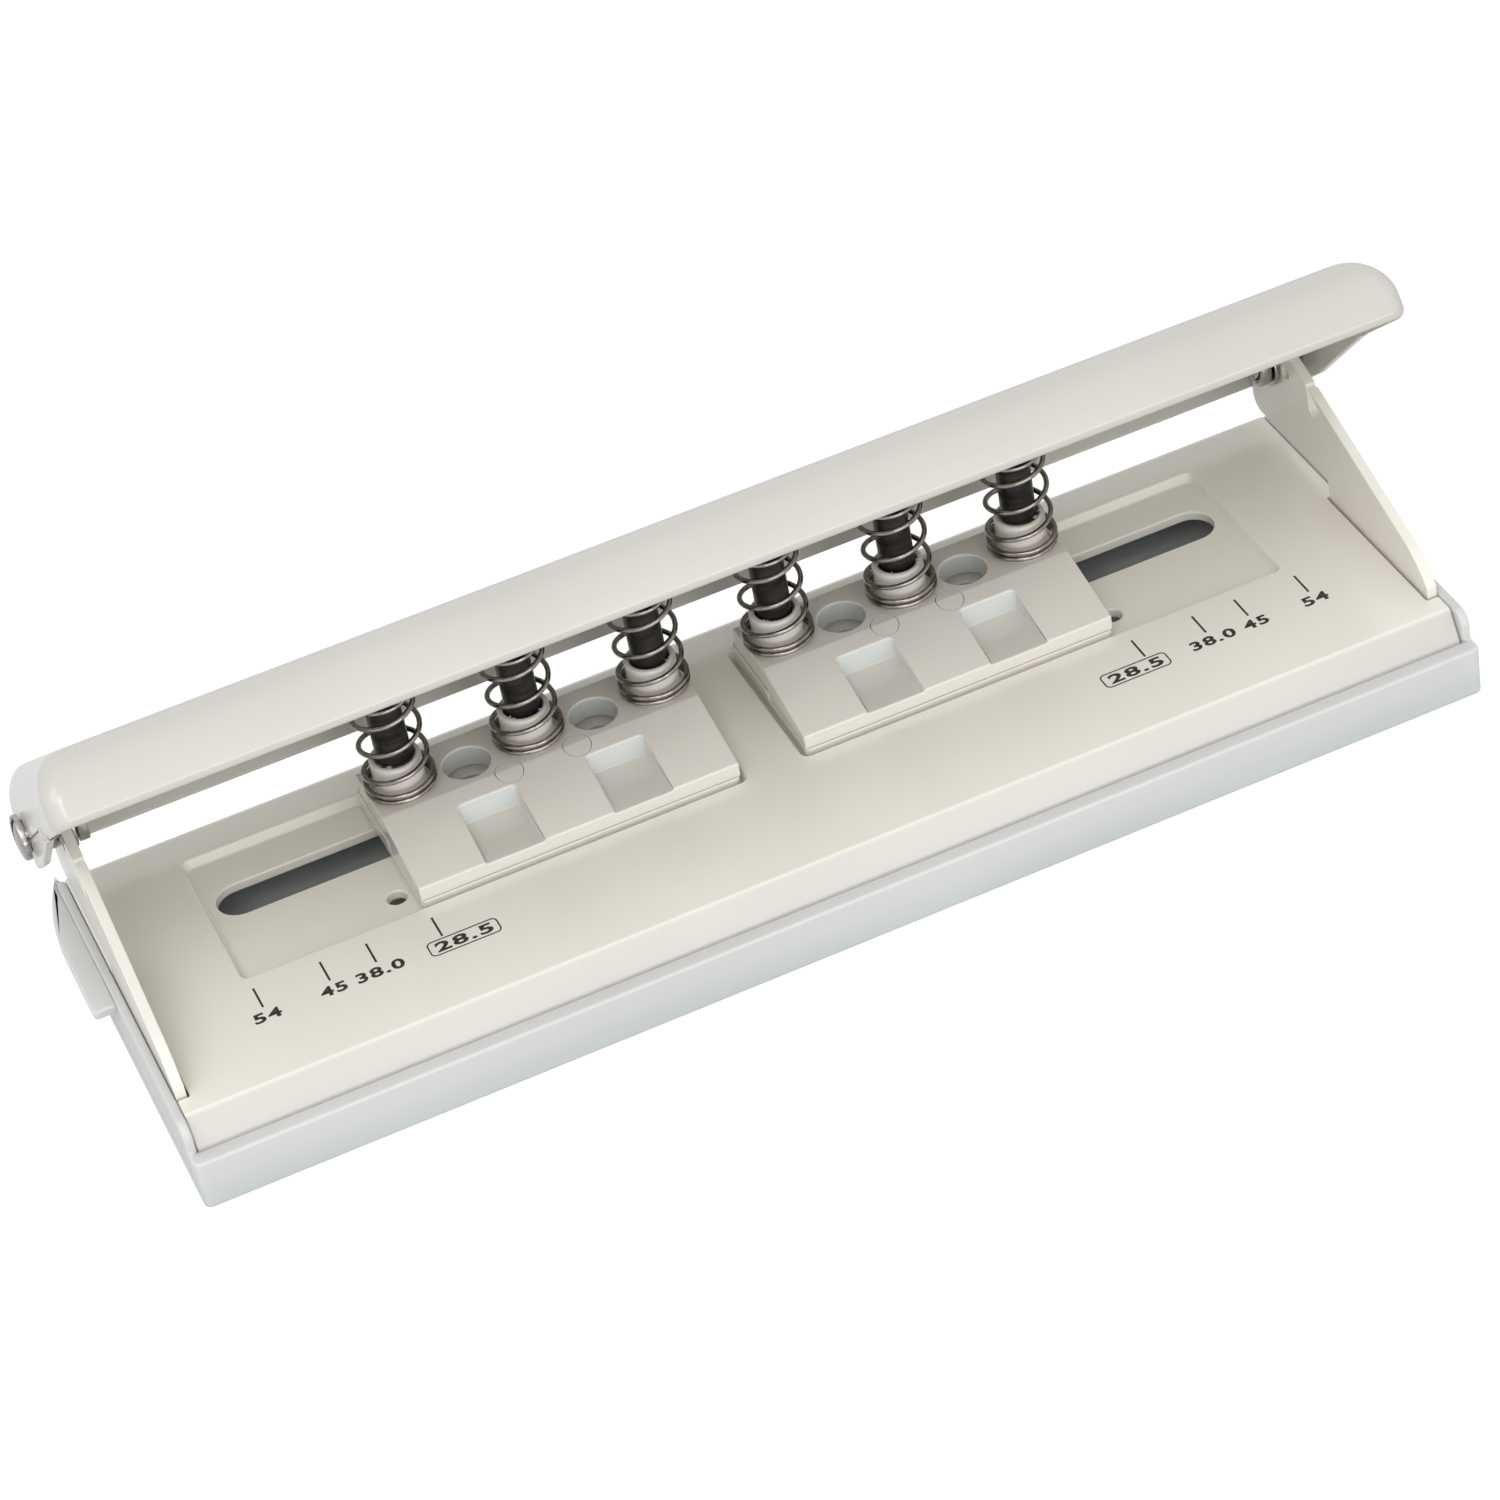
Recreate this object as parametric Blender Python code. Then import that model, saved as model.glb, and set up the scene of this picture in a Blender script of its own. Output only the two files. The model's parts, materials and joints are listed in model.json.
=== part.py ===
"""Six-hole paper punch: two sliding punch blocks on a pressed base, a hinged handle and a chip tray.

+X runs along the machine to the right, +Y from the handle's front to the back, where paper goes in,
and +Z up. The origin is the middle of the tray's flat underside. Lengths are in metres.
"""

import math

import bmesh
import bpy
from mathutils import Matrix, Vector

MM = 0.001

# Clearances and facets
GAP = 0.3 * MM
OVERRUN = 3.0 * MM
NEAR = 0.01 * MM
ROUND_FACETS = 24
SMALL_FACETS = 16
ARC_STEPS = 4
SMOOTH_ANGLE = math.radians(35)

# Hole pattern
PIN_PITCH = 19.0 * MM
PINS_PER_BLOCK = 3
PIN_ROW_Y = 12.85 * MM

# Pressed base
BASE_LENGTH = 187.2 * MM
BASE_DEPTH = 58.2 * MM
BASE_TOP = 12.0 * MM
BASE_FOOT = 7.0 * MM
BASE_SHEET = 1.4 * MM
BASE_FRONT_RUN = 2.7 * MM
BASE_FRONT_RADIUS = 2.6 * MM
BASE_BACK_RADIUS = 1.8 * MM
RECESS_DEPTH = 1.45 * MM
RECESS_CORNER_RADIUS = 1.2 * MM
RECESS_TO_FLANGE = 13.7 * MM
SLOT_WIDTH = 6.6 * MM
SLOT_OFFSET_Y = -0.6 * MM
SLOT_END_MARGIN = 0.8 * MM
INDEX_HOLE_RADIUS = 1.4 * MM
INDEX_HOLE_BESIDE_BLOCK = 2.15 * MM
INDEX_HOLE_FROM_FRONT = 5.05 * MM

# Sliding blocks
BLOCK_FRONT_Y = -4.75 * MM
BLOCK_INNER_MARGIN = 4.6 * MM
BLOCK_OUTER_MARGIN = 4.8 * MM
DIE_DEPTH = 26.2 * MM
DIE_FRONT_DEPTH = 12.6 * MM
DIE_FRONT_THICKNESS = 1.25 * MM
DIE_THICKNESS = 2.9 * MM
SLIT_HEIGHT = 0.75 * MM
HEAD_DEPTH = 24.0 * MM
HEAD_LIP_HEIGHT = 2.7 * MM
HEAD_HEIGHT = 5.9 * MM
HEAD_SLOPE_RUN = 13.0 * MM
HEAD_EDGE_RADIUS = 0.35 * MM
BOSS_RADIUS = 3.65 * MM
BOSS_HEIGHT = 5.9 * MM
RELIEF_HOLE_RADIUS = 3.4 * MM
POCKET_WIDTH = 8.6 * MM
POCKET_BACK = 10.3 * MM
POCKET_FRONT_RISE = 2.85 * MM
POCKET_BACK_RISE = 2.35 * MM
POCKET_CORNER_RADIUS = 0.8 * MM

# Punch pins, their rings and springs
PIN_RADIUS = 2.5 * MM
PIN_CLEARANCE = 0.3 * MM
PIN_REST_GAP = 0.9 * MM
PIN_TIP_ABOVE_SLIT = 0.6 * MM
PIN_NOTCH_DEPTH = 0.8 * MM
PIN_DOME_STEPS = 5
RING_BELOW_TOP = 6.3 * MM
RING_THICKNESS = 1.0 * MM
RING_RADIUS = 4.1 * MM
RING_SLOT_WIDTH = 3.0 * MM
GROOVE_RADIUS = 1.9 * MM
WIRE_RADIUS = 0.36 * MM
SPRING_FOOT_RADIUS = 4.5 * MM
SPRING_TOP_RADIUS = 4.15 * MM
SPRING_FOOT_TURNS = 1.5
SPRING_TOP_TURNS = 1.0
SPRING_OPEN_TURNS = 2.75
SPRING_CLOSED_PITCH = 1.25 * MM
SPRING_POINTS_PER_TURN = 9

# Slide plates and screws of the blocks
SLIDE_PLATE_THICKNESS = 1.5 * MM
SLIDE_PLATE_DEPTH = 14.0 * MM
SLIDE_PLATE_INSET = 1.5 * MM
SLIDE_PLATE_CORNER_RADIUS = 3.0 * MM
CHIP_HOLE_RADIUS = 3.2 * MM
SLIDE_SCREW_RADIUS = 2.6 * MM
SLIDE_SCREW_HEAD_RADIUS = 4.0 * MM
SLIDE_SCREW_HEAD_HEIGHT = 0.9 * MM
SLIDE_SCREW_BELOW_SLIT = 1.3 * MM
HEAD_SCREW_RADIUS = 1.3 * MM
HEAD_SCREW_HEAD_RADIUS = 2.5 * MM
HEAD_SCREW_LENGTH = 3.3 * MM
HEAD_SCREW_FROM_FRONT = 6.0 * MM

# Cheeks
CHEEK_THICKNESS = 1.5 * MM
CHEEK_FRONT_Y = -22.75 * MM
CHEEK_BACK_OF_FOOT_Y = 5.25 * MM
CHEEK_NIB_HEIGHT = 1.6 * MM
CHEEK_NOSE_RUN = 5.6 * MM
CHEEK_NOSE_RISE = 6.0 * MM
CHEEK_HEAD_RADIUS = 6.3 * MM
CHEEK_PAPER_GAP = 3.0 * MM
CHEEK_HEEL_RADIUS = 2.6 * MM
CHEEK_FOOT_RADIUS = 0.8 * MM
KEYHOLE_FROM_PIVOT_Y = -13.2 * MM
KEYHOLE_FROM_PIVOT_Z = -1.2 * MM
KEYHOLE_RADIUS = 1.25 * MM
KEYHOLE_TIP_RUN = 1.2 * MM
KEYHOLE_TIP_RISE = 2.4 * MM
KEYHOLE_SLIT_WIDTH = 0.5 * MM
ROUND_HOLE_FROM_PIVOT_Y = -5.2 * MM
ROUND_HOLE_FROM_PIVOT_Z = 0.6 * MM
ROUND_HOLE_RADIUS = 0.95 * MM
RIVET_RADIUS = 1.0 * MM
RIVET_HEAD_RADIUS = 1.6 * MM
RIVET_HEAD_HEIGHT = 0.9 * MM
RIVET_INSET_Y = 7.0 * MM
RIVET_Z = 8.7 * MM

# Handle, measured in its own frame: the pivot is its origin and its open side faces down
PIVOT_Y = 21.25 * MM
PIVOT_Z = 26.9 * MM
OPEN_ANGLE = math.radians(40)
HANDLE_BESIDE_CHEEK = 2.4 * MM
HANDLE_SHEET = 1.3 * MM
HANDLE_REACH = 44.2 * MM
HANDLE_RIM_DROP = 2.6 * MM
HANDLE_FRONT_HEIGHT = 9.9 * MM
HANDLE_BACK_HEIGHT = 12.35 * MM
HANDLE_FRONT_DRAFT = 1.2 * MM
HANDLE_CORNER_RADIUS = 3.0 * MM
HANDLE_ROOF_CORNER_RADIUS = 5.0 * MM
HANDLE_FRONT_EDGE_RADIUS = 6.0 * MM
HANDLE_BACK_EDGE_RADIUS = 3.6 * MM
HANDLE_END_UPRIGHT = 1.4 * MM
HANDLE_END_RUN_FRONT = 11.0 * MM
HANDLE_END_RUN_BACK = 4.0 * MM
HANDLE_RING_STEPS = 7
HANDLE_STOP_GAP = 0.35 * MM
EAR_FRONT = 16.0 * MM
EAR_TIP_FRONT = 6.0 * MM
EAR_BACK = 4.6 * MM
EAR_DEPTH = 2.2 * MM
EAR_CORNER_RADIUS = 1.6 * MM
EAR_ROOT = 0.8 * MM

# Pivots
PIVOT_SHANK_RADIUS = 2.0 * MM
PIVOT_HEAD_RADIUS = 3.3 * MM
PIVOT_HEAD_HEIGHT = 1.4 * MM
PIVOT_HEAD_CHAMFER = 0.5 * MM
SLOT_CUT_WIDTH = 0.9 * MM
SLOT_CUT_DEPTH = 0.7 * MM
NUT_RADIUS = 3.4 * MM
NUT_THICKNESS = 1.5 * MM
WASHER_RADIUS = 3.9 * MM
SPACER_RADIUS = 3.0 * MM
WASHER_THICKNESS = 0.6 * MM

# Chip tray
TRAY_CLEARANCE = 0.3 * MM
TRAY_END_WALL = 1.15 * MM
TRAY_RIM_WIDTH = 2.3 * MM
TRAY_WALL = 1.5 * MM
TRAY_FLOOR = 1.4 * MM
TRAY_RIM_HEIGHT = 7.9 * MM
TRAY_END_HEIGHT = 12.2 * MM
TRAY_SHELF_WIDTH = 2.2 * MM
TRAY_SHELF_THICKNESS = 1.4 * MM
TRAY_CORNER_RADIUS = 1.0 * MM
TRAY_SHOULDER_RADIUS = 2.4 * MM
PULL_LIP_REACH = 3.2 * MM
PULL_LIP_THICKNESS = 1.5 * MM
PULL_LIP_FRONT_Y = -0.2 * MM
PULL_LIP_BEND_Y = 21.5 * MM
PULL_LIP_BACK_Y = 30.6 * MM
PULL_LIP_BEND_RADIUS = 40.0 * MM
PULL_LIP_FRONT_RADIUS = 0.6 * MM
PULL_LIP_ROOT = 0.6 * MM

# Sizes that follow from the ones above
BASE_HALF = BASE_LENGTH / 2
CHEEK_INNER_X = BASE_HALF - CHEEK_THICKNESS
FLANGE_OUTER_X = CHEEK_INNER_X - GAP
RECESS_FLOOR = BASE_TOP - RECESS_DEPTH
RECESS_UNDERSIDE = RECESS_FLOOR - BASE_SHEET
BLOCK_INNER_X = PIN_PITCH / 2 - BLOCK_INNER_MARGIN
BLOCK_OUTER_X = PIN_PITCH / 2 + (PINS_PER_BLOCK - 1) * PIN_PITCH + BLOCK_OUTER_MARGIN
# A block slides out until it is a gap from its recess's outer end
RECESS_OUTER_X = FLANGE_OUTER_X - RECESS_TO_FLANGE
BLOCK_TRAVEL = RECESS_OUTER_X - GAP - BLOCK_OUTER_X
BLOCK_BOTTOM = RECESS_FLOOR + GAP
DIE_TOP = BLOCK_BOTTOM + DIE_THICKNESS
HEAD_BOTTOM = DIE_TOP + SLIT_HEIGHT
HEAD_FRONT_BOTTOM = BLOCK_BOTTOM + DIE_FRONT_THICKNESS + GAP
HEAD_LIP = BASE_TOP + HEAD_LIP_HEIGHT
HEAD_TOP = BASE_TOP + HEAD_HEIGHT
BOSS_TOP = HEAD_TOP + BOSS_HEIGHT
PIN_HOLE_RADIUS = PIN_RADIUS + PIN_CLEARANCE
SLIDE_PLATE_TOP = RECESS_UNDERSIDE - GAP
SLIDE_PLATE_BOTTOM = SLIDE_PLATE_TOP - SLIDE_PLATE_THICKNESS
SLOT_Y = PIN_ROW_Y + SLOT_OFFSET_Y
HANDLE_INNER_X = BASE_HALF + HANDLE_BESIDE_CHEEK
HANDLE_HALF = HANDLE_INNER_X + HANDLE_SHEET
HANDLE_END_FALL = HANDLE_FRONT_HEIGHT - HANDLE_END_UPRIGHT
# The open handle's rear wall rests a gap behind the cheeks' upright rear edge
HANDLE_BACK = HANDLE_SHEET + (
    CHEEK_HEAD_RADIUS + HANDLE_STOP_GAP + HANDLE_RIM_DROP * math.sin(OPEN_ANGLE)
) / math.cos(OPEN_ANGLE)
HANDLE_ROOF_SLOPE = math.atan2(HANDLE_BACK_HEIGHT - HANDLE_FRONT_HEIGHT,
                               HANDLE_REACH - HANDLE_FRONT_DRAFT + HANDLE_BACK)
TRAY_SHELF_TOP = BASE_FOOT - GAP
TRAY_SEAT_HALF_X = BASE_HALF + TRAY_CLEARANCE
TRAY_SEAT_HALF_Y = BASE_DEPTH / 2 + TRAY_CLEARANCE
TRAY_HALF_X = TRAY_SEAT_HALF_X + TRAY_END_WALL
TRAY_HALF_Y = TRAY_SEAT_HALF_Y + TRAY_RIM_WIDTH

# Where each cheek is riveted to the base's end flange, as (y, z)
RIVET_PLACES = [(CHEEK_FRONT_Y + RIVET_INSET_Y, RIVET_Z), (CHEEK_BACK_OF_FOOT_Y - RIVET_INSET_Y, RIVET_Z)]

# Colours, roughness and metallic value
FINISHES = {
    "enamel": ((0.74, 0.72, 0.63, 1), 0.3, 0.0),
    "milky_plastic": ((0.82, 0.85, 0.86, 1), 0.35, 0.0),
    "black_steel": ((0.03, 0.028, 0.027, 1), 0.4, 0.8),
    "spring_steel": ((0.62, 0.58, 0.54, 1), 0.18, 1.0),
    "nickel": ((0.66, 0.64, 0.61, 1), 0.25, 1.0),
    "zinc_plate": ((0.5, 0.51, 0.5, 1), 0.4, 1.0),
}


def clear_scene():
    """Remove every object that the scene starts with."""
    for thing in list(bpy.data.objects):
        bpy.data.objects.remove(thing)


def finish_material(name, finish):
    """One Principled material for one object, with the given finish."""
    colour, roughness, metallic = FINISHES[finish]
    material = bpy.data.materials.new(name + "_" + finish)
    material.use_nodes = True
    shader = material.node_tree.nodes["Principled BSDF"]
    shader.inputs["Base Color"].default_value = colour
    shader.inputs["Roughness"].default_value = roughness
    shader.inputs["Metallic"].default_value = metallic
    return material


def add_object(name, bm, finish=None):
    """Turn a bmesh into an object with outward faces, and give it a finish."""
    bmesh.ops.recalc_face_normals(bm, faces=bm.faces)
    mesh = bpy.data.meshes.new(name)
    bm.to_mesh(mesh)
    bm.free()
    thing = bpy.data.objects.new(name, mesh)
    bpy.context.scene.collection.objects.link(thing)
    if finish:
        mesh.materials.append(finish_material(name, finish))
    return thing


def smooth_round_faces(thing):
    """Shade curved faces smooth and keep the sharp edges."""
    thing.data.shade_smooth()
    thing.data.set_sharp_from_angle(angle=SMOOTH_ANGLE)


def apply_modifiers(thing):
    """Replace the object's mesh with what its modifiers make of it."""
    depsgraph = bpy.context.evaluated_depsgraph_get()
    mesh = bpy.data.meshes.new_from_object(thing.evaluated_get(depsgraph))
    thing.modifiers.clear()
    thing.data = mesh


def combine(thing, tools, operation):
    """Join tools to the object, or cut them out of it, and remove them."""
    for tool_mesh in tools:
        tool = add_object(thing.name + "_tool", tool_mesh)
        modifier = thing.modifiers.new("combine", "BOOLEAN")
        modifier.operation = operation
        modifier.solver = "EXACT"
        modifier.object = tool
        apply_modifiers(thing)
        bpy.data.objects.remove(tool)


def join_to(thing, *tools):
    """Make one solid of the object and the tools."""
    combine(thing, tools, "UNION")


def cut_from(thing, *tools):
    """Cut the tools out of the object."""
    combine(thing, tools, "DIFFERENCE")


def round_edges(thing, radius, segments=2):
    """Round the object's sharp edges."""
    modifier = thing.modifiers.new("edges", "BEVEL")
    modifier.width = radius
    modifier.segments = segments
    modifier.limit_method = "ANGLE"
    modifier.angle_limit = SMOOTH_ANGLE
    apply_modifiers(thing)


def box(low, high):
    """A box between two corners."""
    low, high = Vector(low), Vector(high)
    bm = bmesh.new()
    bmesh.ops.create_cube(bm, size=1)
    bmesh.ops.scale(bm, vec=high - low, verts=bm.verts)
    bmesh.ops.translate(bm, vec=(low + high) / 2, verts=bm.verts)
    return bm


def prism_along_x(outline, start, end):
    """A solid with a (y, z) outline, from x = start to x = end."""
    return extrude_outline([(start, y, z) for y, z in outline], (end - start, 0, 0))


def prism_along_z(outline, start, end):
    """A solid with an (x, y) outline, from z = start to z = end."""
    return extrude_outline([(x, y, start) for x, y in outline], (0, 0, end - start))


def extrude_outline(points, along):
    """Fill an outline and extrude it into a solid."""
    bm = bmesh.new()
    face = bm.faces.new([bm.verts.new(point) for point in points])
    grown = bmesh.ops.extrude_face_region(bm, geom=[face])
    moved = [item for item in grown["geom"] if isinstance(item, bmesh.types.BMVert)]
    bmesh.ops.translate(bm, vec=along, verts=moved)
    return bm


def lathe(profile, centre, axis="Z", facets=ROUND_FACETS):
    """Turn a profile of (radius, height) points, which starts and ends on the axis, into a solid."""
    bm = bmesh.new()
    verts = [bm.verts.new((radius, 0, height)) for radius, height in profile]
    edges = [bm.edges.new(pair) for pair in zip(verts, verts[1:])]
    bmesh.ops.spin(bm, geom=verts + edges, cent=(0, 0, 0), axis=(0, 0, 1),
                   angle=math.tau, steps=facets, use_merge=True)
    bmesh.ops.remove_doubles(bm, verts=bm.verts, dist=NEAR)
    if axis == "X":
        bmesh.ops.rotate(bm, cent=(0, 0, 0), matrix=Matrix.Rotation(math.pi / 2, 3, "Y"), verts=bm.verts)
    bmesh.ops.translate(bm, vec=centre, verts=bm.verts)
    return bm


def cylinder(radius, start, end, centre, axis="Z", facets=ROUND_FACETS):
    """A cylinder about the axis through centre, from start to end along it."""
    profile = [(0, start), (radius, start), (radius, end), (0, end)]
    return lathe(profile, centre, axis, facets)


def mirrored(bm, side):
    """Mirror a right-hand shape to the left where side is -1."""
    if side < 0:
        bmesh.ops.scale(bm, vec=(-1, 1, 1), verts=bm.verts)
        bmesh.ops.reverse_faces(bm, faces=bm.faces)
    return bm


def round_upright(bm, radius, behind=-math.inf):
    """Round the upright edges of a solid, or only those behind a given y."""
    upright = [e for e in bm.edges
               if abs(e.verts[0].co.z - e.verts[1].co.z) > NEAR and min(v.co.y for v in e.verts) > behind]
    bmesh.ops.bevel(bm, geom=upright, offset=radius, offset_type="OFFSET", segments=ARC_STEPS,
                    profile=0.5, affect="EDGES", material=-1)
    return bm


def rounded_outline(corners, steps=ARC_STEPS):
    """Points of an outline whose corners are (u, v, radius), with an arc at each rounded corner."""
    points = []
    for index, (u, v, radius) in enumerate(corners):
        corner = Vector((u, v))
        if not radius:
            points.append(corner)
            continue
        before = (Vector(corners[index - 1][:2]) - corner).normalized()
        after = (Vector(corners[(index + 1) % len(corners)][:2]) - corner).normalized()
        half = before.angle(after) / 2
        centre = corner + (before + after).normalized() * (radius / math.sin(half))
        first = corner + before * (radius / math.tan(half)) - centre
        last = corner + after * (radius / math.tan(half)) - centre
        turn = math.copysign(math.pi - 2 * half, first.cross(last))
        for step in range(steps + 1):
            points.append(centre + Matrix.Rotation(turn * step / steps, 2) @ first)
    return points


def arc(centre, radius, start, end, steps):
    """Points on an arc about centre, from one angle to another."""
    angles = [start + (end - start) * step / steps for step in range(steps + 1)]
    return [Vector((centre[0] + radius * math.cos(a), centre[1] + radius * math.sin(a))) for a in angles]


def curve_between(start, control, end, steps):
    """Points on a smooth curve that leaves start and meets end in the direction of the control point."""
    shares = [step / steps for step in range(steps + 1)]
    return [start * (1 - s) ** 2 + control * (2 * s * (1 - s)) + end * s ** 2 for s in shares]


def offset_path(path, distance):
    """The path moved sideways, to the right of its direction."""
    directions = [(b - a).normalized() for a, b in zip(path, path[1:])]
    moved = []
    for index, point in enumerate(path):
        sides = [Vector((d.y, -d.x)) for d in directions[max(index - 1, 0):index + 1]]
        middle = sum(sides, Vector((0, 0))).normalized()
        moved.append(point + middle * (distance / middle.dot(sides[0])))
    return moved


def pin_x(side, index):
    """X of a pin: index 0 is the one nearest the middle."""
    return side * (PIN_PITCH / 2 + index * PIN_PITCH)


def between_pins_x(side):
    """X of the places halfway between neighbouring pins of a block."""
    return [side * (index + 1) * PIN_PITCH for index in range(PINS_PER_BLOCK - 1)]


def base_outline():
    """Section of the base sheet: front skirt, top and back skirt."""
    foot_y = -BASE_DEPTH / 2
    back_y = BASE_DEPTH / 2
    slope = math.atan2(BASE_FRONT_RUN, BASE_TOP - BASE_FOOT)
    corners = [
        (foot_y, BASE_FOOT, 0),
        (foot_y + BASE_FRONT_RUN, BASE_TOP, BASE_FRONT_RADIUS),
        (back_y, BASE_TOP, BASE_BACK_RADIUS),
        (back_y, BASE_FOOT, 0),
    ]
    outer = rounded_outline(corners)
    inner = offset_path(outer, BASE_SHEET)
    inner[0] = Vector((foot_y + BASE_SHEET / math.cos(slope), BASE_FOOT))
    return outer + inner[::-1]


def recess_outline(side, grow):
    """Plan of one recess, grown by a wall on every side."""
    inner = BLOCK_INNER_X - GAP - grow
    outer = RECESS_OUTER_X + grow
    front = BLOCK_FRONT_Y - GAP - grow
    back = BLOCK_FRONT_Y + DIE_DEPTH + GAP + grow
    radius = RECESS_CORNER_RADIUS + grow
    corners = [(inner, front, radius), (outer, front, radius), (outer, back, radius), (inner, back, radius)]
    return [(side * p.x, p.y) for p in rounded_outline(corners)]


def slot_outline(side):
    """Plan of one chip slot, with round ends."""
    radius = SLOT_WIDTH / 2
    inner = PIN_PITCH / 2 - PIN_HOLE_RADIUS - SLOT_END_MARGIN + radius
    outer = abs(pin_x(1, PINS_PER_BLOCK - 1)) + BLOCK_TRAVEL + PIN_HOLE_RADIUS + SLOT_END_MARGIN - radius
    right = arc((outer, SLOT_Y), radius, -math.pi / 2, math.pi / 2, 2 * ARC_STEPS)
    left = arc((inner, SLOT_Y), radius, math.pi / 2, 3 * math.pi / 2, 2 * ARC_STEPS)
    return [(side * p.x, p.y) for p in right + left]


def make_base():
    """The pressed base: skirts, end flanges, two recesses, chip slots and index holes."""
    base = add_object("base_plate", prism_along_x(base_outline(), -BASE_HALF, BASE_HALF), "enamel")
    for side in (-1, 1):
        notch = box((FLANGE_OUTER_X, CHEEK_FRONT_Y - GAP, BASE_FOOT - OVERRUN),
                    (BASE_HALF + OVERRUN, CHEEK_BACK_OF_FOOT_Y + GAP, BASE_TOP + OVERRUN))
        flange = box((FLANGE_OUTER_X - BASE_SHEET, CHEEK_FRONT_Y, BASE_FOOT),
                     (FLANGE_OUTER_X, CHEEK_BACK_OF_FOOT_Y, BASE_TOP - BASE_SHEET / 2))
        cut_from(base, mirrored(notch, side))
        join_to(base, mirrored(flange, side))
    pans = [prism_along_z(recess_outline(side, BASE_SHEET), RECESS_UNDERSIDE, BASE_TOP - BASE_SHEET / 2)
            for side in (-1, 1)]
    join_to(base, *pans)
    for side in (-1, 1):
        hole_x = side * (BLOCK_OUTER_X + INDEX_HOLE_BESIDE_BLOCK)
        hole_y = BLOCK_FRONT_Y + INDEX_HOLE_FROM_FRONT
        cut_from(
            base,
            prism_along_z(recess_outline(side, 0), RECESS_FLOOR, BASE_TOP + OVERRUN),
            prism_along_z(slot_outline(side), RECESS_UNDERSIDE - OVERRUN, BASE_TOP + OVERRUN),
            cylinder(INDEX_HOLE_RADIUS, RECESS_UNDERSIDE - OVERRUN, BASE_TOP, (hole_x, hole_y, 0),
                     facets=SMALL_FACETS),
        )
        for y, z in RIVET_PLACES:
            hole = cylinder(RIVET_RADIUS + GAP, FLANGE_OUTER_X - BASE_SHEET - OVERRUN, CHEEK_INNER_X + OVERRUN,
                            (0, y, z), "X", SMALL_FACETS)
            cut_from(base, mirrored(hole, side))
    smooth_round_faces(base)


def cheek_outline():
    """Outline of a cheek: foot, nose, top edge sloping up to the round head, upright back and paper gap."""
    pivot = Vector((PIVOT_Y, PIVOT_Z))
    nib = Vector((CHEEK_FRONT_Y, BASE_TOP + CHEEK_NIB_HEIGHT))
    nose = Vector((CHEEK_FRONT_Y + CHEEK_NOSE_RUN, BASE_TOP + CHEEK_NOSE_RISE))
    away = pivot - nose
    slope = math.atan2(away.y, away.x) + math.asin(CHEEK_HEAD_RADIUS / away.length)
    nose_corner = nose - Vector((math.cos(slope), math.sin(slope))) * (CHEEK_NOSE_RUN / 2)
    under = BASE_TOP + CHEEK_PAPER_GAP
    outline = [Vector((CHEEK_FRONT_Y, BASE_FOOT)), nib]
    outline += curve_between(nib + Vector((GAP, GAP)), nose_corner, nose, ARC_STEPS)
    outline += arc(pivot, CHEEK_HEAD_RADIUS, math.pi / 2 + slope, 0, 3 * ARC_STEPS)
    lower = rounded_outline([
        (*outline[-1], 0),
        (outline[-1].x, under, CHEEK_HEEL_RADIUS),
        (CHEEK_BACK_OF_FOOT_Y, under, CHEEK_FOOT_RADIUS),
        (CHEEK_BACK_OF_FOOT_Y, BASE_FOOT, 0),
        (*outline[0], 0),
    ])
    return outline + lower[1:-1]


def keyhole_outline():
    """Teardrop hole that narrows into a slit, which leaves the cheek through its top edge."""
    centre = Vector((PIVOT_Y + KEYHOLE_FROM_PIVOT_Y, PIVOT_Z + KEYHOLE_FROM_PIVOT_Z))
    tip = centre + Vector((KEYHOLE_TIP_RUN, KEYHOLE_TIP_RISE))
    lean = math.atan2(KEYHOLE_TIP_RISE, KEYHOLE_TIP_RUN)
    half = math.acos(KEYHOLE_RADIUS / (tip - centre).length)
    end = tip + (tip - centre)
    across = Vector((KEYHOLE_SLIT_WIDTH / 2, 0))
    slit = [tip + across, end + across, end - across, tip - across]
    return slit + arc(centre, KEYHOLE_RADIUS, lean + half, lean + math.tau - half, 3 * ARC_STEPS)


def make_cheek(side, name):
    """One end plate with its pivot hole, keyhole, round hole and rivet holes."""
    start = CHEEK_INNER_X
    end = CHEEK_INNER_X + CHEEK_THICKNESS
    cheek = add_object(name, mirrored(prism_along_x(cheek_outline(), start, end), side), "enamel")
    low, high = start - OVERRUN, end + OVERRUN
    cutters = [
        cylinder(PIVOT_SHANK_RADIUS + GAP, low, high, (0, PIVOT_Y, PIVOT_Z), "X", SMALL_FACETS),
        prism_along_x(keyhole_outline(), low, high),
        cylinder(ROUND_HOLE_RADIUS, low, high,
                 (0, PIVOT_Y + ROUND_HOLE_FROM_PIVOT_Y, PIVOT_Z + ROUND_HOLE_FROM_PIVOT_Z), "X", SMALL_FACETS),
    ]
    for y, z in RIVET_PLACES:
        cutters.append(cylinder(RIVET_RADIUS + GAP, low, high, (0, y, z), "X", SMALL_FACETS))
    cut_from(cheek, *[mirrored(cutter, side) for cutter in cutters])
    smooth_round_faces(cheek)


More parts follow.
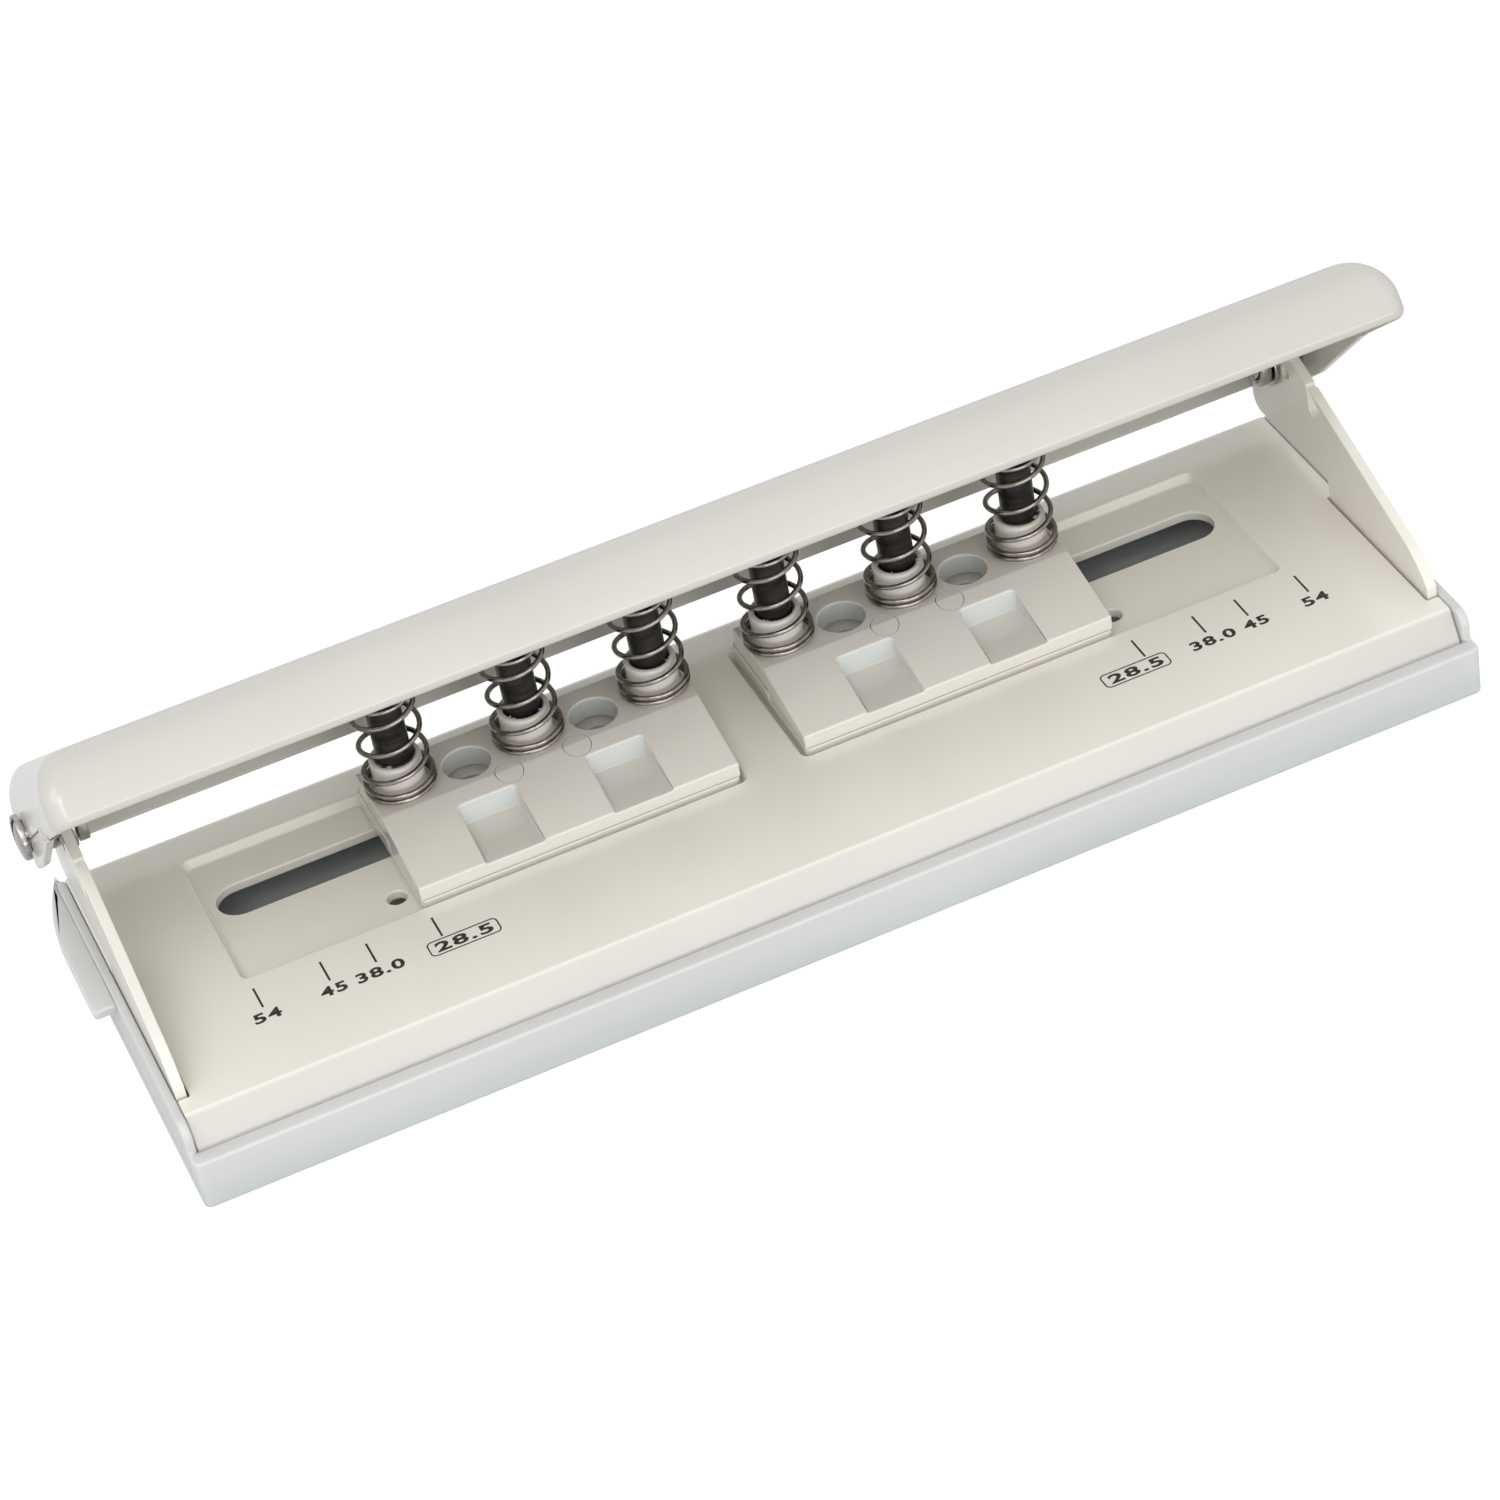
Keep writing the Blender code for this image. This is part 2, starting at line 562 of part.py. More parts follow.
def make_rivets(side, label):
    """The rivets of one cheek, flush outside and domed inside the base's flange."""
    inner = FLANGE_OUTER_X - BASE_SHEET - GAP
    outer = CHEEK_INNER_X + CHEEK_THICKNESS
    profile = [(0, inner - RIVET_HEAD_HEIGHT), (RIVET_HEAD_RADIUS / 2, inner - RIVET_HEAD_HEIGHT),
               (RIVET_HEAD_RADIUS, inner - RIVET_HEAD_HEIGHT / 3), (RIVET_HEAD_RADIUS, inner),
               (RIVET_RADIUS, inner), (RIVET_RADIUS, outer), (0, outer)]
    for number, (y, z) in enumerate(RIVET_PLACES, 1):
        rivet = mirrored(lathe(profile, (0, y, z), "X", SMALL_FACETS), side)
        smooth_round_faces(add_object(label + "_cheek_rivet_" + str(number), rivet, "nickel"))


def rounding(radius, below):
    """How far a rounded edge draws in at a depth below its top."""
    return radius - math.sqrt(radius ** 2 - max(radius - below, 0) ** 2)


def handle_rings(inset):
    """Rings round the handle from rim to roof in its own frame, or round its inside, a sheet further in."""
    rim = -HANDLE_RIM_DROP
    front_edge = HANDLE_FRONT_EDGE_RADIUS - inset
    back_edge = HANDLE_BACK_EDGE_RADIUS - inset
    rise = math.tan(HANDLE_ROOF_SLOPE)
    rings = []
    for step in range(HANDLE_RING_STEPS + 1):
        angle = math.pi / 2 * step / HANDLE_RING_STEPS
        below = (HANDLE_END_FALL - inset) * (1 - math.sin(angle))
        closing_share = 1 - math.cos(angle)
        lean = HANDLE_FRONT_DRAFT * (HANDLE_FRONT_HEIGHT - inset - below) / HANDLE_FRONT_HEIGHT
        front = -HANDLE_REACH + inset + lean + rounding(front_edge, below)
        back = HANDLE_BACK - inset - rounding(back_edge, below)
        front_x = HANDLE_HALF - inset - (HANDLE_END_RUN_FRONT - inset) * closing_share
        back_x = HANDLE_HALF - inset - (HANDLE_END_RUN_BACK - inset) * closing_share
        growth = HANDLE_ROOF_CORNER_RADIUS - HANDLE_CORNER_RADIUS
        radius = HANDLE_CORNER_RADIUS - inset + growth * closing_share
        plan = rounded_outline([(-front_x, front, radius), (front_x, front, radius),
                                (back_x, back, radius), (-back_x, back, radius)])
        if not rings:
            rings.append([(p.x, p.y, rim) for p in plan])
        crown = rim + HANDLE_FRONT_HEIGHT - inset / math.cos(HANDLE_ROOF_SLOPE) - below
        start = -HANDLE_REACH + HANDLE_FRONT_DRAFT
        rings.append([(p.x, p.y, crown + (p.y - start) * rise) for p in plan])
    return rings


def handle_shell():
    """The handle's sheet, open below: rings down its outside and up its inside."""
    bm = bmesh.new()
    rings = handle_rings(0)[::-1] + handle_rings(HANDLE_SHEET)
    loops = [[bm.verts.new(point) for point in ring] for ring in rings]
    for upper, lower in zip(loops, loops[1:]):
        for index in range(len(upper)):
            bm.faces.new((upper[index - 1], upper[index], lower[index], lower[index - 1]))
    bm.faces.new(loops[0])
    bm.faces.new(loops[-1])
    return bm


def handle_ear(side):
    """Ear that reaches down from an end wall round the pivot."""
    root = EAR_ROOT - HANDLE_RIM_DROP
    tip = -HANDLE_RIM_DROP - EAR_DEPTH
    outline = rounded_outline([(-EAR_FRONT, root, 0), (-EAR_FRONT, -HANDLE_RIM_DROP, 0),
                               (-EAR_TIP_FRONT, tip, EAR_CORNER_RADIUS),
                               (EAR_BACK, tip, EAR_CORNER_RADIUS), (EAR_BACK, root, 0)])
    return mirrored(prism_along_x(outline, HANDLE_INNER_X, HANDLE_HALF), side)


def make_handle():
    """The handle: a pressed channel that stands open, turned about its pivot."""
    handle = add_object("handle", handle_shell(), "enamel")
    join_to(handle, handle_ear(-1), handle_ear(1))
    reach = HANDLE_HALF + OVERRUN
    cut_from(handle, cylinder(PIVOT_SHANK_RADIUS + GAP, -reach, reach, (0, 0, 0), "X", SMALL_FACETS))
    smooth_round_faces(handle)
    handle.location = (0, PIVOT_Y, PIVOT_Z)
    handle.rotation_euler = (-OPEN_ANGLE, 0, 0)


def head_outline():
    """Section of a punch head: low front lip, sloping front, flat top and the step over the slit."""
    front = BLOCK_FRONT_Y
    step = front + DIE_FRONT_DEPTH - GAP
    back = front + HEAD_DEPTH
    return [
        (front, HEAD_FRONT_BOTTOM),
        (step, HEAD_FRONT_BOTTOM),
        (step, HEAD_BOTTOM),
        (back, HEAD_BOTTOM),
        (back, HEAD_TOP),
        (front + HEAD_SLOPE_RUN, HEAD_TOP),
        (front, HEAD_LIP),
    ]


def pocket_cutter(x):
    """Wedge pocket: upright back wall with rounded corners and a floor that runs out at the front lip."""
    front = BLOCK_FRONT_Y - OVERRUN
    back = BLOCK_FRONT_Y + POCKET_BACK
    top = HEAD_TOP + OVERRUN
    fall = (POCKET_FRONT_RISE - POCKET_BACK_RISE) * (OVERRUN + POCKET_BACK) / POCKET_BACK
    outline = [(front, BASE_TOP + POCKET_BACK_RISE + fall), (back, BASE_TOP + POCKET_BACK_RISE),
               (back, top), (front, top)]
    bm = prism_along_x(outline, x - POCKET_WIDTH / 2, x + POCKET_WIDTH / 2)
    return round_upright(bm, POCKET_CORNER_RADIUS, back - NEAR)


def head_screw_places(side):
    """X of the screws that hold head and die plate together, in line with the outermost pins."""
    return [pin_x(side, 0), pin_x(side, PINS_PER_BLOCK - 1)]


def head_screw_profile(grow):
    """Countersunk screw from below, flush with the die plate's underside; grown for its hole."""
    bottom = BLOCK_BOTTOM
    cone = HEAD_SCREW_HEAD_RADIUS - HEAD_SCREW_RADIUS
    if grow:
        return [(0, bottom - OVERRUN), (HEAD_SCREW_HEAD_RADIUS + grow, bottom - OVERRUN),
                (HEAD_SCREW_HEAD_RADIUS + grow, bottom), (HEAD_SCREW_RADIUS + grow, bottom + cone),
                (HEAD_SCREW_RADIUS + grow, bottom + HEAD_SCREW_LENGTH + grow),
                (0, bottom + HEAD_SCREW_LENGTH + grow)]
    return [(0, bottom), (HEAD_SCREW_HEAD_RADIUS, bottom), (HEAD_SCREW_RADIUS, bottom + cone),
            (HEAD_SCREW_RADIUS, bottom + HEAD_SCREW_LENGTH), (0, bottom + HEAD_SCREW_LENGTH)]


def head_screw_cutters(side):
    """Holes for the screws between head and die plate."""
    y = BLOCK_FRONT_Y + HEAD_SCREW_FROM_FRONT
    return [lathe(head_screw_profile(GAP), (x, y, 0), facets=SMALL_FACETS) for x in head_screw_places(side)]


def make_punch_head(side, name):
    """Upper casting of a block, with guide bosses, relief holes and wedge pockets."""
    bm = mirrored(prism_along_x(head_outline(), BLOCK_INNER_X, BLOCK_OUTER_X), side)
    head = add_object(name, bm, "enamel")
    round_edges(head, HEAD_EDGE_RADIUS)
    for index in range(PINS_PER_BLOCK):
        place = (pin_x(side, index), PIN_ROW_Y, 0)
        middle = (HEAD_BOTTOM + HEAD_TOP) / 2
        join_to(head, cylinder(BOSS_RADIUS, middle, BOSS_TOP, place))
        cut_from(head, cylinder(PIN_HOLE_RADIUS, HEAD_BOTTOM - OVERRUN, BOSS_TOP + OVERRUN, place))
    for x in between_pins_x(side):
        cut_from(
            head,
            cylinder(RELIEF_HOLE_RADIUS, HEAD_BOTTOM - OVERRUN, HEAD_TOP + OVERRUN, (x, PIN_ROW_Y, 0)),
            pocket_cutter(x),
        )
    cut_from(head, *head_screw_cutters(side))
    smooth_round_faces(head)


def make_die_plate(side, name):
    """Lower half of a block: the paper's table, with a die hole under each pin."""
    front = BLOCK_FRONT_Y
    step = front + DIE_FRONT_DEPTH
    back = front + DIE_DEPTH
    outline = [(front, BLOCK_BOTTOM), (back, BLOCK_BOTTOM), (back, DIE_TOP), (step, DIE_TOP),
               (step, BLOCK_BOTTOM + DIE_FRONT_THICKNESS), (front, BLOCK_BOTTOM + DIE_FRONT_THICKNESS)]
    bm = round_upright(prism_along_x(outline, BLOCK_INNER_X, BLOCK_OUTER_X), RECESS_CORNER_RADIUS - GAP)
    die = add_object(name, mirrored(bm, side), "enamel")
    low, high = BLOCK_BOTTOM - OVERRUN, DIE_TOP + OVERRUN
    for index in range(PINS_PER_BLOCK):
        cut_from(die, cylinder(PIN_HOLE_RADIUS, low, high, (pin_x(side, index), PIN_ROW_Y, 0)))
    for x in between_pins_x(side):
        cut_from(die, cylinder(SLIDE_SCREW_RADIUS + GAP, low, high, (x, SLOT_Y, 0), facets=SMALL_FACETS))
    cut_from(die, *head_screw_cutters(side))
    smooth_round_faces(die)


def make_head_screws(side, label):
    """The screws that hold head and die plate together."""
    y = BLOCK_FRONT_Y + HEAD_SCREW_FROM_FRONT
    for number, x in enumerate(head_screw_places(side), 1):
        screw = lathe(head_screw_profile(0), (x, y, 0), facets=SMALL_FACETS)
        smooth_round_faces(add_object(label + "_head_screw_" + str(number), screw, "zinc_plate"))


def make_slide_plate(side, name):
    """Plate under the base that keeps a block down, with holes for the chips and screws."""
    half = SLIDE_PLATE_DEPTH / 2
    inner = BLOCK_INNER_X + SLIDE_PLATE_INSET
    outer = BLOCK_OUTER_X - SLIDE_PLATE_INSET
    radius = SLIDE_PLATE_CORNER_RADIUS
    corners = [(inner, SLOT_Y - half, radius), (outer, SLOT_Y - half, radius),
               (outer, SLOT_Y + half, radius), (inner, SLOT_Y + half, radius)]
    outline = [(p.x, p.y) for p in rounded_outline(corners)]
    bm = mirrored(prism_along_z(outline, SLIDE_PLATE_BOTTOM, SLIDE_PLATE_TOP), side)
    plate = add_object(name, bm, "zinc_plate")
    low, high = SLIDE_PLATE_BOTTOM - OVERRUN, SLIDE_PLATE_TOP + OVERRUN
    for index in range(PINS_PER_BLOCK):
        place = (pin_x(side, index), PIN_ROW_Y, 0)
        cut_from(plate, cylinder(CHIP_HOLE_RADIUS, low, high, place, facets=SMALL_FACETS))
    for x in between_pins_x(side):
        cut_from(plate, cylinder(SLIDE_SCREW_RADIUS + GAP, low, high, (x, SLOT_Y, 0), facets=SMALL_FACETS))
    smooth_round_faces(plate)


def make_slide_screws(side, label):
    """Screws from below, through slide plate and slot into the die plate."""
    bottom = SLIDE_PLATE_BOTTOM - GAP
    top = DIE_TOP - SLIDE_SCREW_BELOW_SLIT
    chamfer = SLIDE_SCREW_HEAD_HEIGHT / 3
    profile = [
        (0, bottom - SLIDE_SCREW_HEAD_HEIGHT),
        (SLIDE_SCREW_HEAD_RADIUS - chamfer, bottom - SLIDE_SCREW_HEAD_HEIGHT),
        (SLIDE_SCREW_HEAD_RADIUS, bottom - SLIDE_SCREW_HEAD_HEIGHT + chamfer),
        (SLIDE_SCREW_HEAD_RADIUS, bottom),
        (SLIDE_SCREW_RADIUS, bottom),
        (SLIDE_SCREW_RADIUS, top),
        (0, top),
    ]
    for number, x in enumerate(between_pins_x(side), 1):
        screw = lathe(profile, (x, SLOT_Y, 0), facets=SMALL_FACETS)
        smooth_round_faces(add_object(label + "_slide_screw_" + str(number), screw, "zinc_plate"))


def pin_top():
    """Height of a pin's dome at rest, a named gap below the open handle's inner face."""
    over_pivot = (HANDLE_FRONT_HEIGHT - HANDLE_RIM_DROP
                  + (HANDLE_REACH - HANDLE_FRONT_DRAFT) * math.tan(HANDLE_ROOF_SLOPE))
    roof = over_pivot * math.cos(HANDLE_ROOF_SLOPE) - HANDLE_SHEET
    tilt = OPEN_ANGLE - HANDLE_ROOF_SLOPE
    reach = roof - PIN_RADIUS - PIN_REST_GAP + (PIVOT_Y - PIN_ROW_Y) * math.sin(tilt)
    return PIVOT_Z + reach / math.cos(tilt) + PIN_RADIUS


def make_pin(name, x):
    """A punch pin: domed top, ring groove, plain shank and a notched cutting tip."""
    tip = HEAD_BOTTOM + PIN_TIP_ABOVE_SLIT
    top = pin_top()
    groove_top = top - RING_BELOW_TOP + RING_THICKNESS + GAP
    groove_bottom = top - RING_BELOW_TOP - GAP
    profile = [(0, tip), (PIN_RADIUS, tip), (PIN_RADIUS, groove_bottom), (GROOVE_RADIUS, groove_bottom),
               (GROOVE_RADIUS, groove_top), (PIN_RADIUS, groove_top)]
    dome = arc((0, top - PIN_RADIUS), PIN_RADIUS, 0, math.pi / 2, PIN_DOME_STEPS)
    profile += [(p.x, p.y) for p in dome[:-1]] + [(0, top)]
    pin = add_object(name, lathe(profile, (0, 0, 0)), "black_steel")
    notch = [(-PIN_RADIUS, tip - PIN_NOTCH_DEPTH), (PIN_RADIUS, tip - PIN_NOTCH_DEPTH), (0, tip + PIN_NOTCH_DEPTH)]
    cut_from(pin, prism_along_x(notch, -PIN_RADIUS - OVERRUN, PIN_RADIUS + OVERRUN))
    smooth_round_faces(pin)
    pin.location = (x, PIN_ROW_Y, 0)


def make_ring(name, x):
    """Open retaining ring in the pin's groove; the spring pushes up against it."""
    bottom = pin_top() - RING_BELOW_TOP
    top = bottom + RING_THICKNESS
    ring = add_object(name, cylinder(RING_RADIUS, bottom, top, (0, 0, 0)), "black_steel")
    hole = cylinder(GROOVE_RADIUS + GAP, bottom - OVERRUN, top + OVERRUN, (0, 0, 0), facets=SMALL_FACETS)
    half = RING_SLOT_WIDTH / 2
    mouth = box((-half, 0, bottom - OVERRUN), (half, RING_RADIUS + OVERRUN, top + OVERRUN))
    cut_from(ring, hole, mouth)
    smooth_round_faces(ring)
    ring.location = (x, PIN_ROW_Y, 0)


def spring_points():
    """Centreline of a return spring: closed wide turns at the foot, open narrower turns, a closed top turn."""
    bottom = HEAD_TOP + GAP + WIRE_RADIUS
    top = pin_top() - RING_BELOW_TOP - GAP - WIRE_RADIUS
    closed = (SPRING_FOOT_TURNS + SPRING_TOP_TURNS) * SPRING_CLOSED_PITCH
    open_pitch = (top - bottom - closed) / SPRING_OPEN_TURNS
    turns = SPRING_FOOT_TURNS + SPRING_OPEN_TURNS + SPRING_TOP_TURNS
    count = round(turns * SPRING_POINTS_PER_TURN)
    points = []
    for index in range(count + 1):
        turn = turns * index / count
        foot = min(turn, SPRING_FOOT_TURNS)
        middle = min(max(turn - SPRING_FOOT_TURNS, 0), SPRING_OPEN_TURNS)
        end = max(turn - SPRING_FOOT_TURNS - SPRING_OPEN_TURNS, 0)
        height = bottom + (foot + end) * SPRING_CLOSED_PITCH + middle * open_pitch
        narrowing = min(max(height - BOSS_TOP + open_pitch / 2, 0) / open_pitch, 1)
        radius = SPRING_FOOT_RADIUS + (SPRING_TOP_RADIUS - SPRING_FOOT_RADIUS) * narrowing
        angle = math.tau * turn
        points.append(Vector((radius * math.cos(angle), radius * math.sin(angle), height)))
    return points


def least_self_gap(points):
    """Least clear distance between stretches of the wire that aren't neighbours along it."""
    apart = SPRING_POINTS_PER_TURN // 2
    distances = [
        (a - b).length
        for index, a in enumerate(points)
        for b in points[index + apart:]
    ]
    return min(distances) - 2 * WIRE_RADIUS


def make_spring(name, x, points):
    """One unbroken wire along the spring's centreline."""
    curve = bpy.data.curves.new(name, "CURVE")
    curve.dimensions = "3D"
    curve.bevel_depth = WIRE_RADIUS
    curve.bevel_resolution = 1
    curve.use_fill_caps = True
    spline = curve.splines.new("POLY")
    spline.points.add(len(points) - 1)
    for spot, point in zip(spline.points, points):
        spot.co = (*point, 1)
    curve.materials.append(finish_material(name, "spring_steel"))
    spring = bpy.data.objects.new(name, curve)
    spring.location = (x, PIN_ROW_Y, 0)
    bpy.context.scene.collection.objects.link(spring)


def make_pivot(side, label):
    """Pivot of one handle end: slotted screw, spacer, washer and slotted nut, all on the hinge axis."""
    chamfer = PIVOT_HEAD_CHAMFER
    outer = HANDLE_HALF + GAP
    nut_outer = CHEEK_INNER_X - GAP - WASHER_THICKNESS - GAP
    nut_inner = nut_outer - NUT_THICKNESS
    centre = (0, PIVOT_Y, PIVOT_Z)
    screw_profile = [(0, nut_inner), (PIVOT_SHANK_RADIUS, nut_inner), (PIVOT_SHANK_RADIUS, outer),
                     (PIVOT_HEAD_RADIUS, outer), (PIVOT_HEAD_RADIUS, outer + PIVOT_HEAD_HEIGHT - chamfer),
                     (PIVOT_HEAD_RADIUS - chamfer, outer + PIVOT_HEAD_HEIGHT), (0, outer + PIVOT_HEAD_HEIGHT)]
    screw = add_object(label + "_pivot_screw", mirrored(lathe(screw_profile, centre, "X"), side), "nickel")
    nut = add_object(label + "_pivot_nut", mirrored(cylinder(NUT_RADIUS, nut_inner, nut_outer, centre, "X"), side),
                     "nickel")
    hole = cylinder(PIVOT_SHANK_RADIUS + GAP, nut_inner - OVERRUN, outer, centre, "X", SMALL_FACETS)
    cut_from(nut, mirrored(hole, side))
    head_face = outer + PIVOT_HEAD_HEIGHT
    cut_slot(screw, side, head_face - SLOT_CUT_DEPTH, head_face + OVERRUN)
    cut_slot(nut, side, nut_inner - OVERRUN, nut_inner + SLOT_CUT_DEPTH)
    spacer_start = CHEEK_INNER_X + CHEEK_THICKNESS + GAP
    make_disc(label + "_pivot_spacer", side, spacer_start, HANDLE_INNER_X - GAP, SPACER_RADIUS)
    make_disc(label + "_pivot_washer", side, nut_outer + GAP, CHEEK_INNER_X - GAP, WASHER_RADIUS)
    smooth_round_faces(screw)
    smooth_round_faces(nut)


def cut_slot(thing, side, start, end):
    """Screwdriver slot across the pivot axis."""
    long = PIVOT_HEAD_RADIUS + OVERRUN
    half = SLOT_CUT_WIDTH / 2
    slot = box((start, PIVOT_Y - half, PIVOT_Z - long), (end, PIVOT_Y + half, PIVOT_Z + long))
    cut_from(thing, mirrored(slot, side))


def make_disc(name, side, start, end, radius):
    """Flat ring on the pivot axis."""
    centre = (0, PIVOT_Y, PIVOT_Z)
    disc = add_object(name, mirrored(cylinder(radius, start, end, centre, "X"), side), "nickel")
    hole = cylinder(PIVOT_SHANK_RADIUS + GAP, start - OVERRUN, end + OVERRUN, centre, "X", SMALL_FACETS)
    cut_from(disc, mirrored(hole, side))
    smooth_round_faces(disc)


def tray_shoulder_cutter(front):
    """What is cleared above the rim, in front of (or behind) the end walls' rounded shoulders."""
    outside = TRAY_HALF_Y + OVERRUN
    shoulder = TRAY_SEAT_HALF_Y - TRAY_CLEARANCE
    top = TRAY_END_HEIGHT + OVERRUN
    crest = shoulder - TRAY_SHOULDER_RADIUS
    bend = arc((crest, TRAY_END_HEIGHT - TRAY_SHOULDER_RADIUS), TRAY_SHOULDER_RADIUS, 0, math.pi / 2, ARC_STEPS)
    outline = [(outside, TRAY_RIM_HEIGHT), (shoulder, TRAY_RIM_HEIGHT)]
    outline += [(p.x, p.y) for p in bend] + [(crest, top), (outside, top)]
    reach = TRAY_HALF_X + OVERRUN
    return prism_along_x([(front * y, z) for y, z in outline], -reach, reach)


def pull_lip():
    """Flat lip along the top of the left end wall, to pull the tray off by."""
    root = -TRAY_HALF_X + PULL_LIP_ROOT
    edge = -TRAY_HALF_X - PULL_LIP_REACH
    corners = [
        (root, PULL_LIP_FRONT_Y, 0),
        (edge, PULL_LIP_FRONT_Y, PULL_LIP_FRONT_RADIUS),
        (edge, PULL_LIP_BEND_Y, PULL_LIP_BEND_RADIUS),
        (root, PULL_LIP_BACK_Y, 0),
    ]
    outline = [(p.x, p.y) for p in rounded_outline(corners)]
    return prism_along_z(outline, TRAY_END_HEIGHT - PULL_LIP_THICKNESS, TRAY_END_HEIGHT)


def make_tray():
    """Soft plastic chip tray: low rim front and back, high end walls, and a shelf that carries the base."""
    corners = [(x * TRAY_HALF_X, y * TRAY_HALF_Y, TRAY_CORNER_RADIUS) for x, y in ((-1, -1), (1, -1), (1, 1), (-1, 1))]
    outline = [(p.x, p.y) for p in rounded_outline(corners)]
    tray = add_object("chip_tray", prism_along_z(outline, 0, TRAY_END_HEIGHT), "milky_plastic")
    seat_x, seat_y = TRAY_SEAT_HALF_X, TRAY_SEAT_HALF_Y
    shelf_bottom = TRAY_SHELF_TOP - TRAY_SHELF_THICKNESS
    room_y = TRAY_HALF_Y - TRAY_WALL
    cut_from(
        tray,
        box((-seat_x, -seat_y, TRAY_SHELF_TOP), (seat_x, seat_y, TRAY_END_HEIGHT + OVERRUN)),
        box((-seat_x + TRAY_SHELF_WIDTH, -seat_y + TRAY_SHELF_WIDTH, shelf_bottom - TRAY_FLOOR),
            (seat_x - TRAY_SHELF_WIDTH, seat_y - TRAY_SHELF_WIDTH, TRAY_END_HEIGHT)),
        box((-seat_x, -room_y, TRAY_FLOOR), (seat_x, room_y, shelf_bottom)),
        tray_shoulder_cutter(-1),
        tray_shoulder_cutter(1),
    )
    join_to(tray, pull_lip())
    smooth_round_faces(tray)


def make_punch():
    """Build every piece of the punch."""
    clear_scene()
    make_tray()
    make_base()
    make_handle()
    points = spring_points()
    number = 1
    for side, label in ((-1, "left"), (1, "right")):
        make_cheek(side, label + "_cheek")
        make_rivets(side, label)
        make_pivot(side, label)
        make_punch_head(side, label + "_punch_head")
        make_die_plate(side, label + "_die_plate")
        make_head_screws(side, label)
        make_slide_plate(side, label + "_slide_plate")
        make_slide_screws(side, label)
    for x in sorted(pin_x(side, index) for side in (-1, 1) for index in range(PINS_PER_BLOCK)):
        make_pin("punch_pin_" + str(number), x)
        make_ring("pin_ring_" + str(number), x)
        make_spring("spring_" + str(number), x, points)
        number += 1
    print("least gap of a spring to itself, mm:", round(least_self_gap(points) / MM, 3))


make_punch()
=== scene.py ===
"""Six-hole paper punch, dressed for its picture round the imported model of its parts.

+X runs along the machine to the right, +Y to the back, where the paper goes in, and +Z up.
Lengths are in metres.
"""

import json
import math
from functools import cache

import bmesh
import bpy
from bpy.props import FloatProperty, FloatVectorProperty, PointerProperty
from mathutils import Matrix, Vector

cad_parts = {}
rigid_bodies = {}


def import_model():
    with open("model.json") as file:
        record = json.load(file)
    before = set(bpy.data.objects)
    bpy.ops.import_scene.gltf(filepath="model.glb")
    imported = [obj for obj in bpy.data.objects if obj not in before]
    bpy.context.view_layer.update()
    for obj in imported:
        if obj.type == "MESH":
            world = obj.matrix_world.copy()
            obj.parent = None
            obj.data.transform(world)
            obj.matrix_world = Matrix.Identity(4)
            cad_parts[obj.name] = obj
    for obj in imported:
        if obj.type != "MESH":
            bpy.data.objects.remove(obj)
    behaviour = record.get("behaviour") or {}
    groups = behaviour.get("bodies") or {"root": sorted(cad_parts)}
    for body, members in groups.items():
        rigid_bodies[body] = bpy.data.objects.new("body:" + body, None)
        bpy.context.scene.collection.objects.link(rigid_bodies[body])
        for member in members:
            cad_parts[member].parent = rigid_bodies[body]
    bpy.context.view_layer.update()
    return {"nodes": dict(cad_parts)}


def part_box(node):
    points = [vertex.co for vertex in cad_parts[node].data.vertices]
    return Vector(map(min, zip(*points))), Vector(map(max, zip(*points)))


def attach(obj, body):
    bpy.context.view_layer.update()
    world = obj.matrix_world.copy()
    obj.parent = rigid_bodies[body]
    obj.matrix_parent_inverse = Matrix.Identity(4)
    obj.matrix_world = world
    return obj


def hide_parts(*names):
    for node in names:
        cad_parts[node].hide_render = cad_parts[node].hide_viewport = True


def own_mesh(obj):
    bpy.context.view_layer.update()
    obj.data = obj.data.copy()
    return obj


bl_info = {
    "name": "Six-hole paper punch",
    "version": (1, 0, 0),
    "blender": (4, 5, 0),
    "location": "3D View > Sidebar > Punch",
    "description": "Builds the visible pieces of a six-hole paper punch round its packed frame",
    "category": "Add Mesh",
}

for thing in list(bpy.data.objects):
    bpy.data.objects.remove(thing)
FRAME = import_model()

MM = 0.001
SIDES = ((-1, "left"), (1, "right"))

# Play between pieces, how far a cutter goes past a face, and what counts as the same place
GAP = 0.3 * MM
OVERRUN = 3.0 * MM
NEAR = 0.01 * MM

# Steps of round shapes, and the angles from which an edge is rounded or shaded sharp
ROUND_STEPS = 64
SMALL_STEPS = 40
CORNER_STEPS = 8
FACE_ANGLE = math.radians(30)
SHARP_ANGLE = math.radians(38)

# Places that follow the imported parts
BASE_LOW, BASE_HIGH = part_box("base_plate")
TRAY_LOW, TRAY_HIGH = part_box("chip_tray")
CHEEK_LOW, CHEEK_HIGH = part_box("right_cheek")
HEAD_LOW, HEAD_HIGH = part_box("right_punch_head")
DIE_LOW, DIE_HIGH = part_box("right_die_plate")
PIN_LOW, PIN_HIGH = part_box("punch_pin_4")
RING_LOW, RING_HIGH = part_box("pin_ring_4")
SPRING_LOW, SPRING_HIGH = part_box("spring_4")
SCREW_LOW, SCREW_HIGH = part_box("right_pivot_screw")
NUT_LOW, NUT_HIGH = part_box("right_pivot_nut")
WASHER_LOW, WASHER_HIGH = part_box("right_pivot_washer")
SPACER_LOW, SPACER_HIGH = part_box("right_pivot_spacer")

# Hole pattern and travel of the blocks
PIN_PITCH = 19.0 * MM
PINS_PER_BLOCK = 3
BLOCK_TRAVEL = 25.5 * MM
PIN_ROW_Y = (PIN_LOW[1] + PIN_HIGH[1]) / 2

